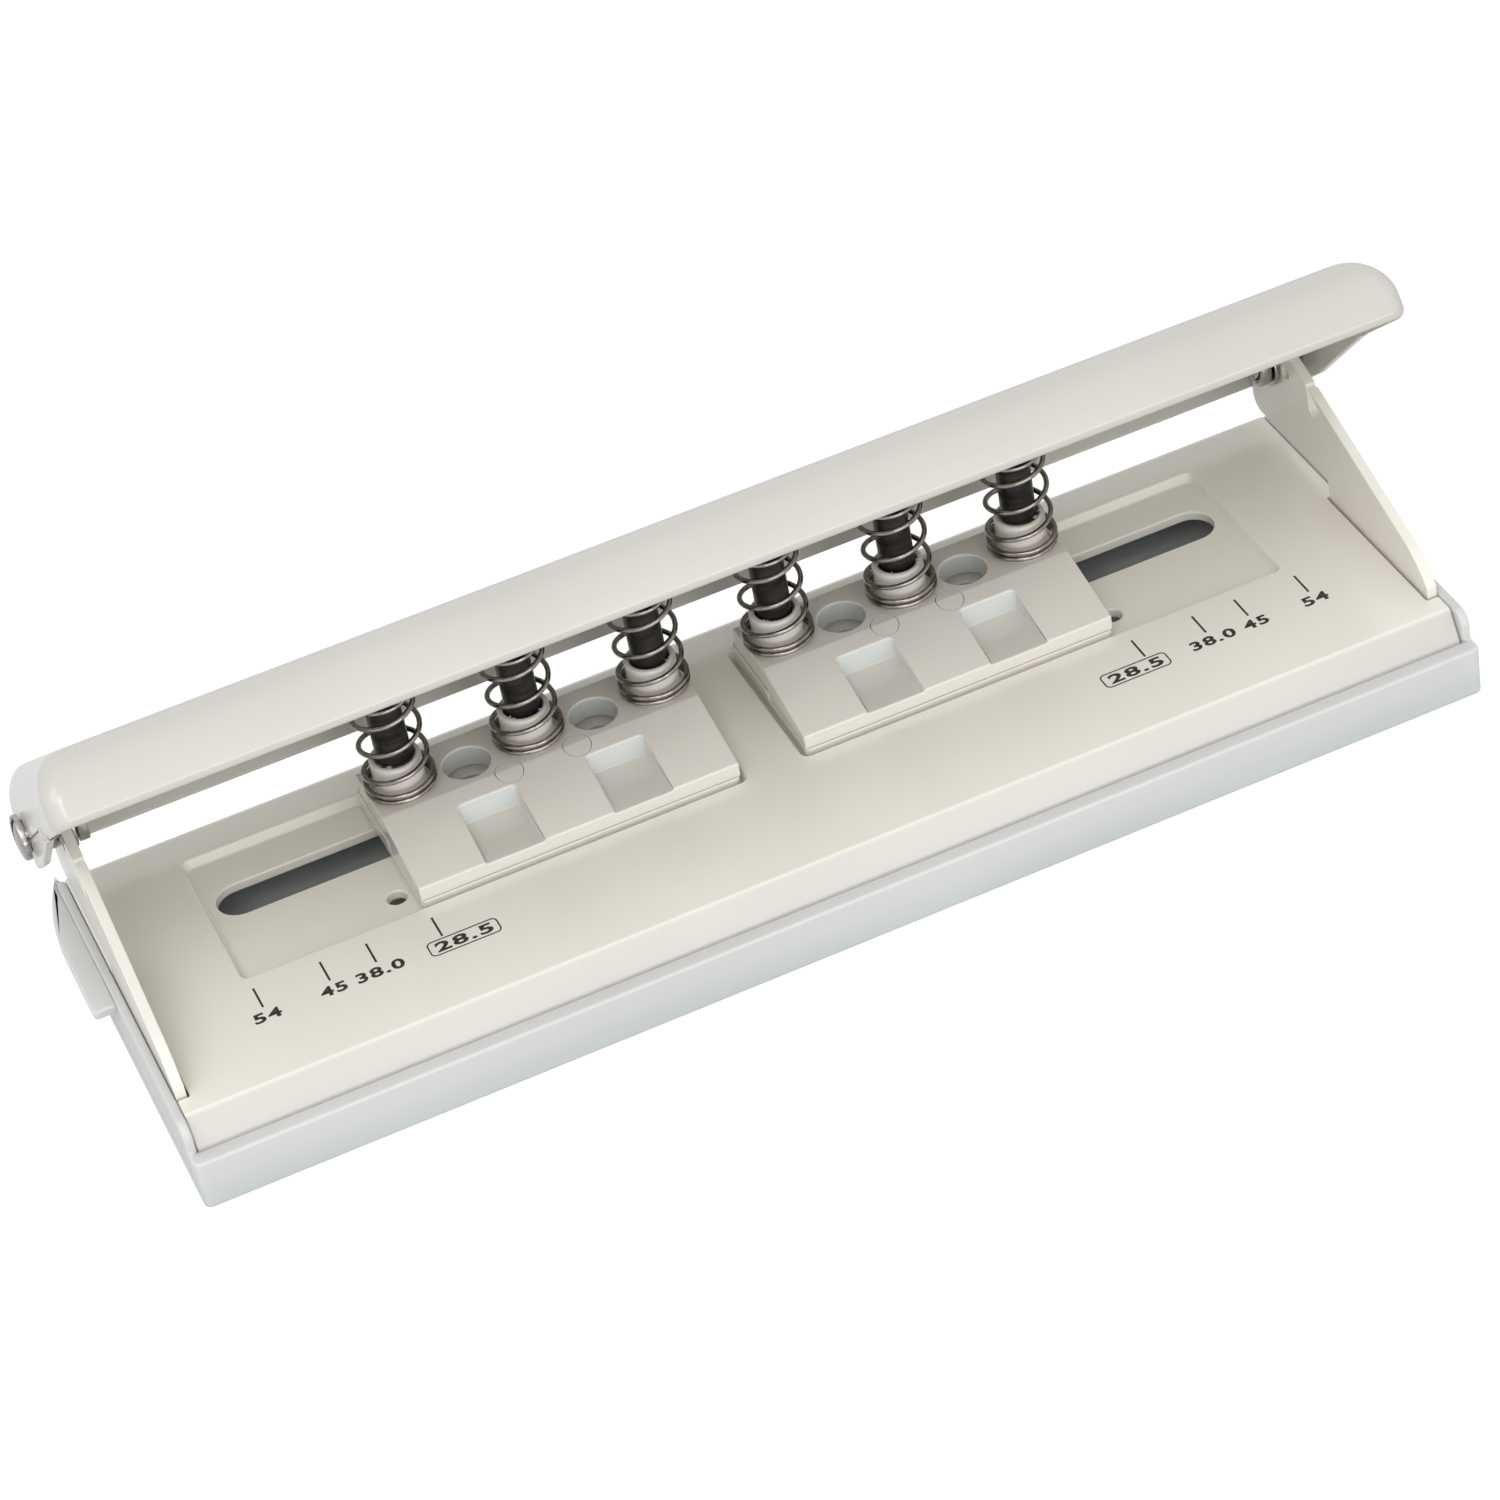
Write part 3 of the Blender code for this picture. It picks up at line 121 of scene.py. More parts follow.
# Pressed base
BASE_HALF = BASE_HIGH[0]
BASE_DEPTH = BASE_HIGH[1] - BASE_LOW[1]
BASE_TOP = BASE_HIGH[2]
BASE_FOOT = 7.0 * MM
BASE_SHEET = 1.4 * MM
BASE_FRONT_RUN = 2.7 * MM
BASE_FRONT_RADIUS = 0.9 * MM
BASE_BACK_RADIUS = 1.8 * MM
RECESS_DEPTH = 1.45 * MM
RECESS_CORNER_RADIUS = 1.2 * MM
RECESS_WALL_RUN = 0.45 * MM
RECESS_FLOOR = BASE_TOP - RECESS_DEPTH
RECESS_UNDERSIDE = RECESS_FLOOR - BASE_SHEET
SLOT_WIDTH = 6.6 * MM
SLOT_Y = PIN_ROW_Y - 0.6 * MM
SLOT_END_MARGIN = 0.8 * MM
INDEX_HOLE_RADIUS = 1.4 * MM
INDEX_HOLE_BESIDE_BLOCK = 2.15 * MM
INDEX_HOLE_FROM_FRONT = 5.05 * MM
# Rounded lip of an opening: height above the floor and growth of the plan, in lip radii
LIP_SHAPE = ((-1.0, 0.0), (-0.5, 0.13), (-0.13, 0.5), (0.13, 1.5))

# Printed scale on the base
INK_THICKNESS = 0.02 * MM
PRINT_SHIFT_X = 0.63 * MM
TICK_BESIDE_BLOCK = 0.5 * MM
TICK_FRONT_Y = -12.2 * MM
TICK_BACK_Y = -7.95 * MM
LABEL_Y = -14.1 * MM
# Letters are drawn a metre high and this deep, then fitted
LETTER_DEPTH = 0.01
LETTER_SPACING = 1.15
LABEL_BOX_LENGTH = 10.2 * MM
LABEL_BOX_WIDTH = 3.1 * MM
LABEL_BOX_RADIUS = 0.8 * MM
LABEL_BOX_LINE = 0.2 * MM
# Each tick's step outwards, its number, which is the middle pin's place there in millimetres,
# and the number's length and shift outwards
SCALE_MARKS = (
    (0.0, "28.5", 8.2 * MM, -2.45 * MM),
    (9.5 * MM, "38.0", 6.8 * MM, 0.1 * MM),
    (16.15 * MM, "45", 3.7 * MM, 0.15 * MM),
    (25.7 * MM, "54", 3.9 * MM, 0.0),
)

# Sliding blocks
BLOCK_FRONT_Y = HEAD_LOW[1]
BLOCK_INNER_X = HEAD_LOW[0]
BLOCK_OUTER_X = HEAD_HIGH[0]
BLOCK_BOTTOM = DIE_LOW[2]
DIE_DEPTH = DIE_HIGH[1] - DIE_LOW[1]
DIE_TOP = DIE_HIGH[2]
DIE_FRONT_DEPTH = 12.6 * MM
HEAD_SEAM = 0.05 * MM
DIE_FRONT_TOP = HEAD_LOW[2] - HEAD_SEAM
SLIT_HEIGHT = 0.75 * MM
HEAD_BOTTOM = DIE_TOP + SLIT_HEIGHT
HEAD_BACK_Y = HEAD_HIGH[1]
HEAD_LIP = BASE_TOP + 2.7 * MM
HEAD_TOP = BASE_TOP + 5.9 * MM
HEAD_SLOPE_RUN = 13.0 * MM
HEAD_CREST_RADIUS = 1.2 * MM
BOSS_RADIUS = 3.65 * MM
BOSS_TOP = HEAD_HIGH[2]
BOSS_FILLET = 0.5 * MM
BOSS_CROWN = 0.5 * MM
RELIEF_HOLE_RADIUS = 3.4 * MM
POCKET_WIDTH = 8.6 * MM
POCKET_BACK = 10.3 * MM
POCKET_FRONT_RISE = 2.4 * MM
POCKET_BACK_RISE = 1.7 * MM
POCKET_CORNER_RADIUS = 0.8 * MM
MARK_RADIUS = 1.95 * MM
MARK_LINE = 0.1 * MM
MARK_DEPTH = 0.9 * MM
MARK_FROM_HOLE = 4.45 * MM
MARK_Y = 7.85 * MM
SCREW_HOLE_RADIUS = 1.6 * MM
SCREW_HOLE_FROM_FRONT = 6.0 * MM
SLIDE_HOLE_RADIUS = 2.9 * MM
# Faces of the castings whose normal rises less than this are walls
WALL_STEEPNESS = 0.6

# Punch pins, rings and springs
PIN_RADIUS = (PIN_HIGH[0] - PIN_LOW[0]) / 2
PIN_BORE_RADIUS = PIN_RADIUS + GAP
PIN_NOTCH_DEPTH = 0.8 * MM
PIN_GROOVE_RADIUS = 1.9 * MM
RING_RADIUS = (RING_HIGH[0] - RING_LOW[0]) / 2
RING_SLOT_WIDTH = 3.0 * MM
WIRE_RADIUS = 0.38 * MM
SPRING_FOOT_RADIUS = 4.8 * MM
SPRING_TOP_RADIUS = 4.45 * MM
SPRING_SEAT_RADIUS = 3.8 * MM
SPRING_FOOT_TURNS = 2.25
SPRING_TOP_TURNS = 1.0
SPRING_OPEN_TURNS = 2.75
SPRING_CLOSED_PITCH = 0.92 * MM
SPRING_POINTS_PER_TURN = 32

# Cheeks
CHEEK_INNER_X = CHEEK_LOW[0]
CHEEK_OUTER_X = CHEEK_HIGH[0]
CHEEK_FRONT_Y = CHEEK_LOW[1]
CHEEK_BACK_OF_FOOT_Y = 5.25 * MM
CHEEK_NIB_HEIGHT = 1.6 * MM
CHEEK_NOSE_RUN = 5.6 * MM
CHEEK_NOSE_RISE = 6.0 * MM
CHEEK_HEAD_RADIUS = 6.3 * MM
CHEEK_PAPER_GAP = 3.0 * MM
CHEEK_HEEL_RADIUS = 2.6 * MM
CHEEK_FOOT_RADIUS = 0.8 * MM
KEYHOLE_FROM_PIVOT_Y = -13.2 * MM
KEYHOLE_FROM_PIVOT_Z = -1.2 * MM
KEYHOLE_RADIUS = 1.5 * MM
KEYHOLE_TIP_RUN = 1.5 * MM
KEYHOLE_TIP_RISE = 3.2 * MM
KEYHOLE_SLIT_WIDTH = 0.5 * MM
ROUND_HOLE_FROM_PIVOT_Y = -5.2 * MM
ROUND_HOLE_FROM_PIVOT_Z = 0.6 * MM
ROUND_HOLE_RADIUS = 0.95 * MM
RIVET_HOLE_RADIUS = 1.3 * MM
RIVET_INSET_Y = 7.0 * MM
RIVET_Z = 8.7 * MM
RIVET_PLACES = (
    (CHEEK_FRONT_Y + RIVET_INSET_Y, RIVET_Z),
    (CHEEK_BACK_OF_FOOT_Y - RIVET_INSET_Y, RIVET_Z),
)

# Handle, measured in its own frame: the pivot is its origin and its open side faces down
PIVOT_Y = (SCREW_LOW[1] + SCREW_HIGH[1]) / 2
PIVOT_Z = (SCREW_LOW[2] + SCREW_HIGH[2]) / 2
OPEN_ANGLE = math.radians(40)
HANDLE_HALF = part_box("handle")[1][0]
HANDLE_SHEET = 1.3 * MM
HANDLE_REACH = 44.2 * MM
HANDLE_RIM_DROP = 2.6 * MM
HANDLE_RIM_RADIUS = 1.8 * MM
HANDLE_RIM_TURN = math.radians(60)
HANDLE_FRONT_HEIGHT = 9.9 * MM
HANDLE_BACK_HEIGHT = 12.35 * MM
HANDLE_FRONT_DRAFT = 1.2 * MM
HANDLE_CORNER_RADIUS = 2.6 * MM
HANDLE_ROOF_CORNER_RADIUS = 4.4 * MM
HANDLE_FRONT_EDGE_RADIUS = 6.0 * MM
HANDLE_BACK_EDGE_RADIUS = 3.6 * MM
HANDLE_END_FALL = 6.6 * MM
HANDLE_END_RUN_FRONT = 4.6 * MM
HANDLE_END_RUN_BACK = 3.6 * MM
HANDLE_RING_STEPS = 40
HANDLE_STOP_GAP = 0.35 * MM
HANDLE_BACK = HANDLE_SHEET + (
    CHEEK_HEAD_RADIUS + HANDLE_STOP_GAP + HANDLE_RIM_DROP * math.sin(OPEN_ANGLE)
) / math.cos(OPEN_ANGLE)
HANDLE_ROOF_SLOPE = math.atan2(HANDLE_BACK_HEIGHT - HANDLE_FRONT_HEIGHT,
                               HANDLE_REACH - HANDLE_FRONT_DRAFT + HANDLE_BACK)
EAR_FRONT = 26.0 * MM
EAR_TIP_FRONT = 6.0 * MM
EAR_BACK = 4.6 * MM
EAR_DEPTH = 2.2 * MM
EAR_CORNER_RADIUS = 1.6 * MM
EAR_ROOT = 1.9 * MM

# Pivots
PIVOT_SHANK_RADIUS = 2.0 * MM
PIVOT_HEAD_RADIUS = 3.3 * MM
PIVOT_HEAD_HEIGHT = 1.4 * MM
PIVOT_DOME_SHARE = 0.45
SLOT_CUT_WIDTH = 0.9 * MM
SLOT_CUT_DEPTH = 0.7 * MM

# Chip tray
TRAY_CLEARANCE = 0.1 * MM
TRAY_SEAT_HALF_X = BASE_HALF + TRAY_CLEARANCE
TRAY_SEAT_HALF_Y = BASE_DEPTH / 2 + TRAY_CLEARANCE
TRAY_HALF_X = TRAY_HIGH[0]
TRAY_HALF_Y = TRAY_HIGH[1]
TRAY_END_HEIGHT = TRAY_HIGH[2]
TRAY_WALL = 1.5 * MM
TRAY_FLOOR = 1.4 * MM
TRAY_RIM_HEIGHT = 7.9 * MM
TRAY_SHELF_TOP = BASE_FOOT - GAP
TRAY_SHELF_WIDTH = 2.2 * MM
TRAY_SHELF_THICKNESS = 1.4 * MM
TRAY_CORNER_RADIUS = 1.0 * MM
TRAY_SHOULDER_RADIUS = 2.4 * MM
PULL_LIP_REACH = -TRAY_LOW[0] - TRAY_HALF_X
PULL_LIP_THICKNESS = 1.5 * MM
PULL_LIP_DROP = 0.7 * MM
PULL_LIP_FRONT_Y = -0.2 * MM
PULL_LIP_BEND_Y = 21.5 * MM
PULL_LIP_BACK_Y = 30.6 * MM
PULL_LIP_BEND_RADIUS = 40.0 * MM
PULL_LIP_FRONT_RADIUS = 0.6 * MM
PULL_LIP_ROOT = 0.6 * MM

# Enamels and the settings that hold their colours; the handle's enamel and the walls of the castings'
# openings are darker as painted shade
ENAMELS = {
    "enamel": "enamel",
    "base_enamel": "enamel",
    "casting_enamel": "casting",
    "thin_enamel": "opening_wall_shade",
    "handle_enamel": "handle",
}
# Bare metals: setting of the colour, roughness, depth and fineness of the working marks, and their stretch
METALS = {
    "spring_wire": ("wire", 0.13, 0.004 * MM, 900, (1, 1, 1)),
    "nickel": ("nickel", 0.24, 0.006 * MM, 1600, (0.2, 1, 1)),
    "zinc_plate": ("zinc", 0.38, 0.008 * MM, 700, (1, 1, 1)),
}
# Part of a noise's range over which one tone goes over to the other
TONE_SPAN = (0.35, 0.65)
# Colour sockets of the Mix node, which share their names with its other sockets
MIX_SHARE, MIX_LOWER, MIX_UPPER, MIX_RESULT = 0, 6, 7, 2

# Stage: place, size and colour of each lamp
WARM_WHITE = (1.0, 0.985, 0.96)
COOL_WHITE = (0.97, 0.985, 1.0)
LAMPS = {
    "key": ((-0.35, -0.62, 0.85), 0.5, WARM_WHITE),
    "fill": ((-0.6, -0.1, 0.76), 0.5, COOL_WHITE),
    "front": ((0.12, -0.92, 0.45), 0.6, COOL_WHITE),
    "strip": ((0.05, -0.97, 0.06), 0.9, (1.0, 1.0, 1.0)),
}
STRIP_HEIGHT = 0.12
FLOOR_HALF = 3.0

# Camera, as found from the photograph's perspective
CAMERA_PLACE = Vector((-0.14326, -0.47371, 0.41613))
CAMERA_FORWARD = Vector((0.2219, 0.7419, -0.6327))
CAMERA_UP = Vector((0.35748, 0.54183, 0.76068))
CAMERA_LENS = 111.21
CAMERA_NEAR = 0.02


def colour_setting(name, description, default):
    """Setting that holds a colour."""
    return FloatVectorProperty(name=name, description=description, subtype="COLOR", size=3, default=default)


def length_setting(name, description, default):
    """Setting that holds a length."""
    return FloatProperty(name=name, description=description, unit="LENGTH", default=default)


def power_setting(name, description, default):
    """Setting that holds a lamp's power."""
    return FloatProperty(name=name, description=description, unit="POWER", default=default)


def share_setting(name, description, default):
    """Setting that holds a plain number."""
    return FloatProperty(name=name, description=description, default=default)


class PunchColours(bpy.types.PropertyGroup):
    """Colours of the finishes."""

    enamel: colour_setting("Enamel", "Baked enamel of the base's top and the cheeks", (0.815, 0.785, 0.71))
    casting: colour_setting("Casting", "Baked enamel of the punch heads and die plates", (0.73, 0.70, 0.64))
    # Openings: a darker, cooler tone painted on the walls of the pockets and relief holes, as painted shade
    opening_wall_shade: colour_setting("Thin paint", "Thinly painted walls of the castings' openings", (0.69, 0.715, 0.695))
    # Handle: the same enamel as the base, darkened as painted shade against the stronger light the handle
    # gets
    handle: colour_setting("Handle", "Baked enamel of the handle", (0.55, 0.53, 0.482))
    # Skirt: the base's own enamel, darkened as painted shade on its sloping front
    skirt: colour_setting("Skirt", "Baked enamel of the base's sloping front", (0.59, 0.56, 0.525))
    # Tray: lighter, as painted light from the base behind the plastic; Tray foot: the plastic with nothing
    # behind it
    tray: colour_setting("Tray", "Milky plastic of the chip tray", (0.70, 0.70, 0.685))
    tray_foot: colour_setting("Tray foot", "Tray below its shelf, with nothing behind it", (0.63, 0.66, 0.66))
    wire: colour_setting("Wire", "Bright spring wire", (0.37, 0.335, 0.305))
    pin: colour_setting("Pins", "Blackened steel of the pins and rings", (0.022, 0.02, 0.019))
    nickel: colour_setting("Nickel", "Plated screws, nuts and washers", (0.46, 0.44, 0.42))
    zinc: colour_setting("Zinc", "Zinc plate of the hidden plates and screws", (0.42, 0.43, 0.42))
    ink: colour_setting("Ink", "Printed scale", (0.018, 0.017, 0.016))


class PunchSizes(bpy.types.PropertyGroup):
    """Sizes that change the look and not the fit."""

    enamel_edge: length_setting("Enamel edge", "Radius of edges under enamel", 0.28 * MM)
    tray_edge: length_setting("Tray edge", "Radius of the tray's edges", 0.4 * MM)
    metal_edge: length_setting("Metal edge", "Radius of turned edges", 0.15 * MM)
    tick_width: length_setting("Tick width", "Width of the printed ticks", 0.3 * MM)
    label_height: length_setting("Number height", "Height of the printed numbers", 2.0 * MM)
    label_weight: share_setting("Number weight", "What the strokes gain, as a share of their size", 0.03)


class PunchStage(bpy.types.PropertyGroup):
    """Floor, light and camera."""

    floor_colour: colour_setting("Floor", "Colour of the floor", (0.66, 0.66, 0.66))
    floor_lift: share_setting("Floor lift", "What lifts the floor to white in the picture", 0.5)
    mirrored_lift: share_setting("Mirrored lift", "What lifts the floor towards white in reflections", 0.1)
    key_power: power_setting("Key lamp", "Power of the large lamp high in front", 2.8)
    fill_power: power_setting("Fill lamp", "Power of the lamp at the left", 1.5)
    front_power: power_setting("Front lamp", "Power of the soft lamp in front", 1.1)
    strip_power: power_setting("Strip lamp", "Power of the long lamp low in front", 1.7)
    sky: share_setting("Sky", "Brightness of the light from all round", 0.85)


def outline_points(corners, steps=CORNER_STEPS):
    """Points of an outline whose corners are (u, v, radius), with an arc at each rounded corner."""
    points = []
    for index, (u, v, radius) in enumerate(corners):
        corner = Vector((u, v))
        if not radius:
            points.append(corner)
            continue
        before = (Vector(corners[index - 1][:2]) - corner).normalized()
        after = (Vector(corners[(index + 1) % len(corners)][:2]) - corner).normalized()
        half = before.angle(after) / 2
        centre = corner + (before + after).normalized() * (radius / math.sin(half))
        first = corner + before * (radius / math.tan(half)) - centre
        last = corner + after * (radius / math.tan(half)) - centre
        turn = math.copysign(math.pi - 2 * half, first.cross(last))
        for step in range(steps + 1):
            points.append(centre + Matrix.Rotation(turn * step / steps, 2) @ first)
    return points


def rounded_rectangle(low_x, low_y, high_x, high_y, radius):
    """Outline of a rectangle with four equal round corners."""
    return outline_points([(low_x, low_y, radius), (high_x, low_y, radius),
                           (high_x, high_y, radius), (low_x, high_y, radius)])


def arc(centre, radius, start, end, steps):
    """Points on an arc about centre, from one angle to another."""
    angles = [start + (end - start) * step / steps for step in range(steps + 1)]
    return [Vector((centre[0] + radius * math.cos(a), centre[1] + radius * math.sin(a))) for a in angles]


def curve_between(start, control, end, steps):
    """Points on a smooth curve that leaves start and meets end in the direction of the control point."""
    shares = [step / steps for step in range(steps + 1)]
    return [start * (1 - s) ** 2 + control * (2 * s * (1 - s)) + end * s ** 2 for s in shares]


def offset_path(path, distance):
    """The path moved sideways, to the right of its direction."""
    directions = [(b - a).normalized() for a, b in zip(path, path[1:])]
    moved = []
    for index, point in enumerate(path):
        sides = [Vector((d.y, -d.x)) for d in directions[max(index - 1, 0):index + 1]]
        middle = sum(sides, Vector((0, 0))).normalized()
        moved.append(point + middle * (distance / middle.dot(sides[0])))
    return moved


def prism(points, along):
    """Solid between an outline and the same outline moved along."""
    bm = bmesh.new()
    face = bm.faces.new([bm.verts.new(point) for point in points])
    grown = bmesh.ops.extrude_face_region(bm, geom=[face])
    moved = [item for item in grown["geom"] if isinstance(item, bmesh.types.BMVert)]
    bmesh.ops.translate(bm, vec=along, verts=moved)
    bmesh.ops.recalc_face_normals(bm, faces=bm.faces)
    return bm


def prism_x(outline, start, end):
    """Solid with a (y, z) outline, from x = start to x = end."""
    return prism([(start, y, z) for y, z in outline], (end - start, 0, 0))


def prism_z(outline, start, end):
    """Solid with an (x, y) outline, from z = start to z = end."""
    return prism([(x, y, start) for x, y in outline], (0, 0, end - start))


def block(low, high):
    """Box between two corners."""
    low, high = Vector(low), Vector(high)
    bm = bmesh.new()
    bmesh.ops.create_cube(bm, size=1)
    bmesh.ops.scale(bm, vec=high - low, verts=bm.verts)
    bmesh.ops.translate(bm, vec=(low + high) / 2, verts=bm.verts)
    return bm


def bridge_rings(rings):
    """Solid over rings of points, closed at both ends."""
    bm = bmesh.new()
    loops = []
    for ring in rings:
        verts = [bm.verts.new(point) for point in ring]
        loops.append([bm.edges.new((verts[index - 1], verts[index])) for index in range(len(verts))])
    for lower, upper in zip(loops, loops[1:]):
        bmesh.ops.bridge_loops(bm, edges=lower + upper)
    for loop in (loops[0], loops[-1]):
        bmesh.ops.contextual_create(bm, geom=loop)
    bmesh.ops.recalc_face_normals(bm, faces=bm.faces)
    return bm


def turned(profile, centre, axis="Z", steps=ROUND_STEPS, hollow=False):
    """Solid turned from (radius, height) points that end on the axis, or close on themselves if hollow."""
    bm = bmesh.new()
    verts = [bm.verts.new((radius, 0, height)) for radius, height in profile]
    edges = [bm.edges.new(pair) for pair in zip(verts, verts[1:] + verts[:1] * hollow)]
    bmesh.ops.spin(bm, geom=verts + edges, cent=(0, 0, 0), axis=(0, 0, 1),
                   angle=math.tau, steps=steps, use_merge=True)
    bmesh.ops.remove_doubles(bm, verts=bm.verts, dist=NEAR / 4)
    if axis == "X":
        bmesh.ops.rotate(bm, cent=(0, 0, 0), matrix=Matrix.Rotation(math.pi / 2, 3, "Y"), verts=bm.verts)
    bmesh.ops.translate(bm, vec=centre, verts=bm.verts)
    bmesh.ops.recalc_face_normals(bm, faces=bm.faces)
    return bm


def rod(radius, start, end, centre, axis="Z", steps=ROUND_STEPS):
    """Round rod about the axis through centre, from start to end along it."""
    return turned([(0, start), (radius, start), (radius, end), (0, end)], centre, axis, steps)


def bore_x(radius, start, end, y, z):
    """Cutter for a small hole along X."""
    return rod(radius, start, end, (0, y, z), "X", SMALL_STEPS)


def round_upright(bm, radius, only_at_y=None):
    """Round a solid's upright edges, or only those at one y."""
    upright = [e for e in bm.edges if abs(e.verts[0].co.z - e.verts[1].co.z) > NEAR
               and (only_at_y is None or all(abs(v.co.y - only_at_y) < NEAR for v in e.verts))]
    bmesh.ops.bevel(bm, geom=upright, offset=radius, offset_type="OFFSET",
                    segments=CORNER_STEPS, profile=0.5, affect="EDGES", material=-1)
    return bm


def mirrored(bm, side):
    """The right-hand shape, or its mirror image where side is -1."""
    if side < 0:
        bmesh.ops.scale(bm, vec=(-1, 1, 1), verts=bm.verts)
        bmesh.ops.reverse_faces(bm, faces=bm.faces)
    return bm


def link_object(name, data):
    """Object in the scene that holds a mesh, a curve, a lamp or a camera."""
    thing = bpy.data.objects.new(name, data)
    bpy.context.scene.collection.objects.link(thing)
    return thing


def new_object(name, bm):
    """Object made from a bmesh."""
    mesh = bpy.data.meshes.new(name)
    bm.to_mesh(mesh)
    bm.free()
    return link_object(name, mesh)


def shaped_mesh(thing):
    """The object's mesh as its modifiers or its curve settings shape it."""
    depsgraph = bpy.context.evaluated_depsgraph_get()
    return bpy.data.meshes.new_from_object(thing.evaluated_get(depsgraph))


def mesh_of_curve(curve):
    """Mesh made from a curve or a text."""
    thing = link_object(curve.name, curve)
    mesh = shaped_mesh(thing)
    bpy.data.objects.remove(thing)
    return mesh


def settle(thing):
    """Make the result of the object's modifiers its mesh."""
    mesh = shaped_mesh(thing)
    thing.modifiers.clear()
    thing.data = mesh


def combine(thing, tools, operation):
    """Join tools to the object, or cut them out of it."""
    for tool_mesh in tools:
        tool = new_object(thing.name + "_tool", tool_mesh)
        modifier = thing.modifiers.new("combine", "BOOLEAN")
        modifier.operation = operation
        modifier.solver = "EXACT"
        modifier.object = tool
        settle(thing)
        bpy.data.objects.remove(tool)


def join_to(thing, *tools):
    """Make one solid of the object and the tools."""
    combine(thing, tools, "UNION")


def cut_from(thing, *tools):
    """Cut the tools out of the object."""
    combine(thing, tools, "DIFFERENCE")


def round_edges(thing, radius, segments=3):
    """Round the object's sharp edges."""
    modifier = thing.modifiers.new("edges", "BEVEL")
    modifier.width = radius
    modifier.segments = segments
    modifier.limit_method = "ANGLE"
    modifier.angle_limit = FACE_ANGLE
    modifier.use_clamp_overlap = False
    modifier.miter_outer = "MITER_ARC"
    settle(thing)


def finish_piece(thing, material, body, *nodes):
    """Smooth the piece, give it its finish, and let it stand for CAD nodes and ride on their body."""
    mesh = thing.data
    mesh.materials.clear()
    mesh.materials.append(material)
    mesh.shade_smooth()
    mesh.set_sharp_from_angle(angle=SHARP_ANGLE)
    normals = thing.modifiers.new("normals", "WEIGHTED_NORMAL")
    normals.keep_sharp = True
    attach(thing, body)
    if nodes:
        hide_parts(*nodes)
    return thing


def block_body(side):
    """Body that a side's sliding block rides on."""
    return "left_block" if side < 0 else "right_block"


def pin_places():
    """Number, side and x of every pin, from left to right."""
    steps = [PIN_PITCH / 2 + index * PIN_PITCH for index in range(PINS_PER_BLOCK)]
    places = sorted(side * step for side, _ in SIDES for step in steps)
    return [(number, -1 if x < 0 else 1, x) for number, x in enumerate(places, 1)]


def shader_of(name):
    """A new material with its node tree and Principled shader."""
    material = bpy.data.materials.new(name)
    material.use_nodes = True
    return material, material.node_tree, material.node_tree.nodes["Principled BSDF"]


def set_inputs(tree, node, inputs):
    """Set a node's inputs to values, or link outputs to them."""
    for name, value in inputs.items():
        if isinstance(value, bpy.types.NodeSocket):
            tree.links.new(value, node.inputs[name])
        else:
            node.inputs[name].default_value = value


def add_node(tree, kind, inputs, **settings):
    """A shader node with its settings and inputs."""
    node = tree.nodes.new("ShaderNode" + kind)
    for name, value in settings.items():
        setattr(node, name, value)
    set_inputs(tree, node, inputs)
    return node


def add_math(tree, operation, *values):
    """Result of a Math node on numbers and outputs."""
    return add_node(tree, "Math", dict(enumerate(values)), operation=operation).outputs["Value"]


def add_noise(tree, scale, detail=2, stretch=(1, 1, 1)):
    """Noise on the object's own coordinates."""
    place = add_node(tree, "TexCoord", {}).outputs["Object"]
    place = add_node(tree, "Mapping", {"Vector": place, "Scale": stretch}).outputs["Vector"]
    return add_node(tree, "TexNoise", {"Vector": place, "Scale": scale, "Detail": detail}).outputs["Fac"]


def add_ramp(tree, source, low, high):
    """Colours between low and high, led by source."""
    ramp = add_node(tree, "ValToRGB", {"Fac": source})
    for stop, position, colour in zip(ramp.color_ramp.elements, TONE_SPAN, (low, high)):
        stop.position = position
        stop.color = (*colour, 1)
    return ramp.outputs["Color"]


def add_range(tree, source, low, high):
    """Numbers between low and high, led by source."""
    return add_node(tree, "MapRange", {"Value": source, "To Min": low, "To Max": high}).outputs["Result"]


def add_bump(tree, source, depth, strength, under=None):
    """Relief of the given depth, led by source, on top of a coarser one under it."""
    inputs = {"Height": source, "Distance": depth, "Strength": strength}
    if under:
        inputs["Normal"] = under
    return add_node(tree, "Bump", inputs).outputs["Normal"]


def shaded(colour, share):
    """The colour, darkened to a share of itself."""
    return tuple(channel * share for channel in colour)


def blend_along(tree, axis, lower, upper, start, end):
    """The lower colour up to one place on an axis, going over to the upper colour at another."""
    place = add_node(tree, "TexCoord", {}).outputs["Object"]
    place = add_node(tree, "SeparateXYZ", {"Vector": place}).outputs[axis]
    share = add_node(tree, "MapRange", {"Value": place, "From Min": start, "From Max": end},
                     interpolation_type="SMOOTHSTEP").outputs["Result"]
    blend = add_node(tree, "Mix", {MIX_SHARE: share, MIX_LOWER: lower, MIX_UPPER: upper}, data_type="RGBA")
    return blend.outputs[MIX_RESULT]


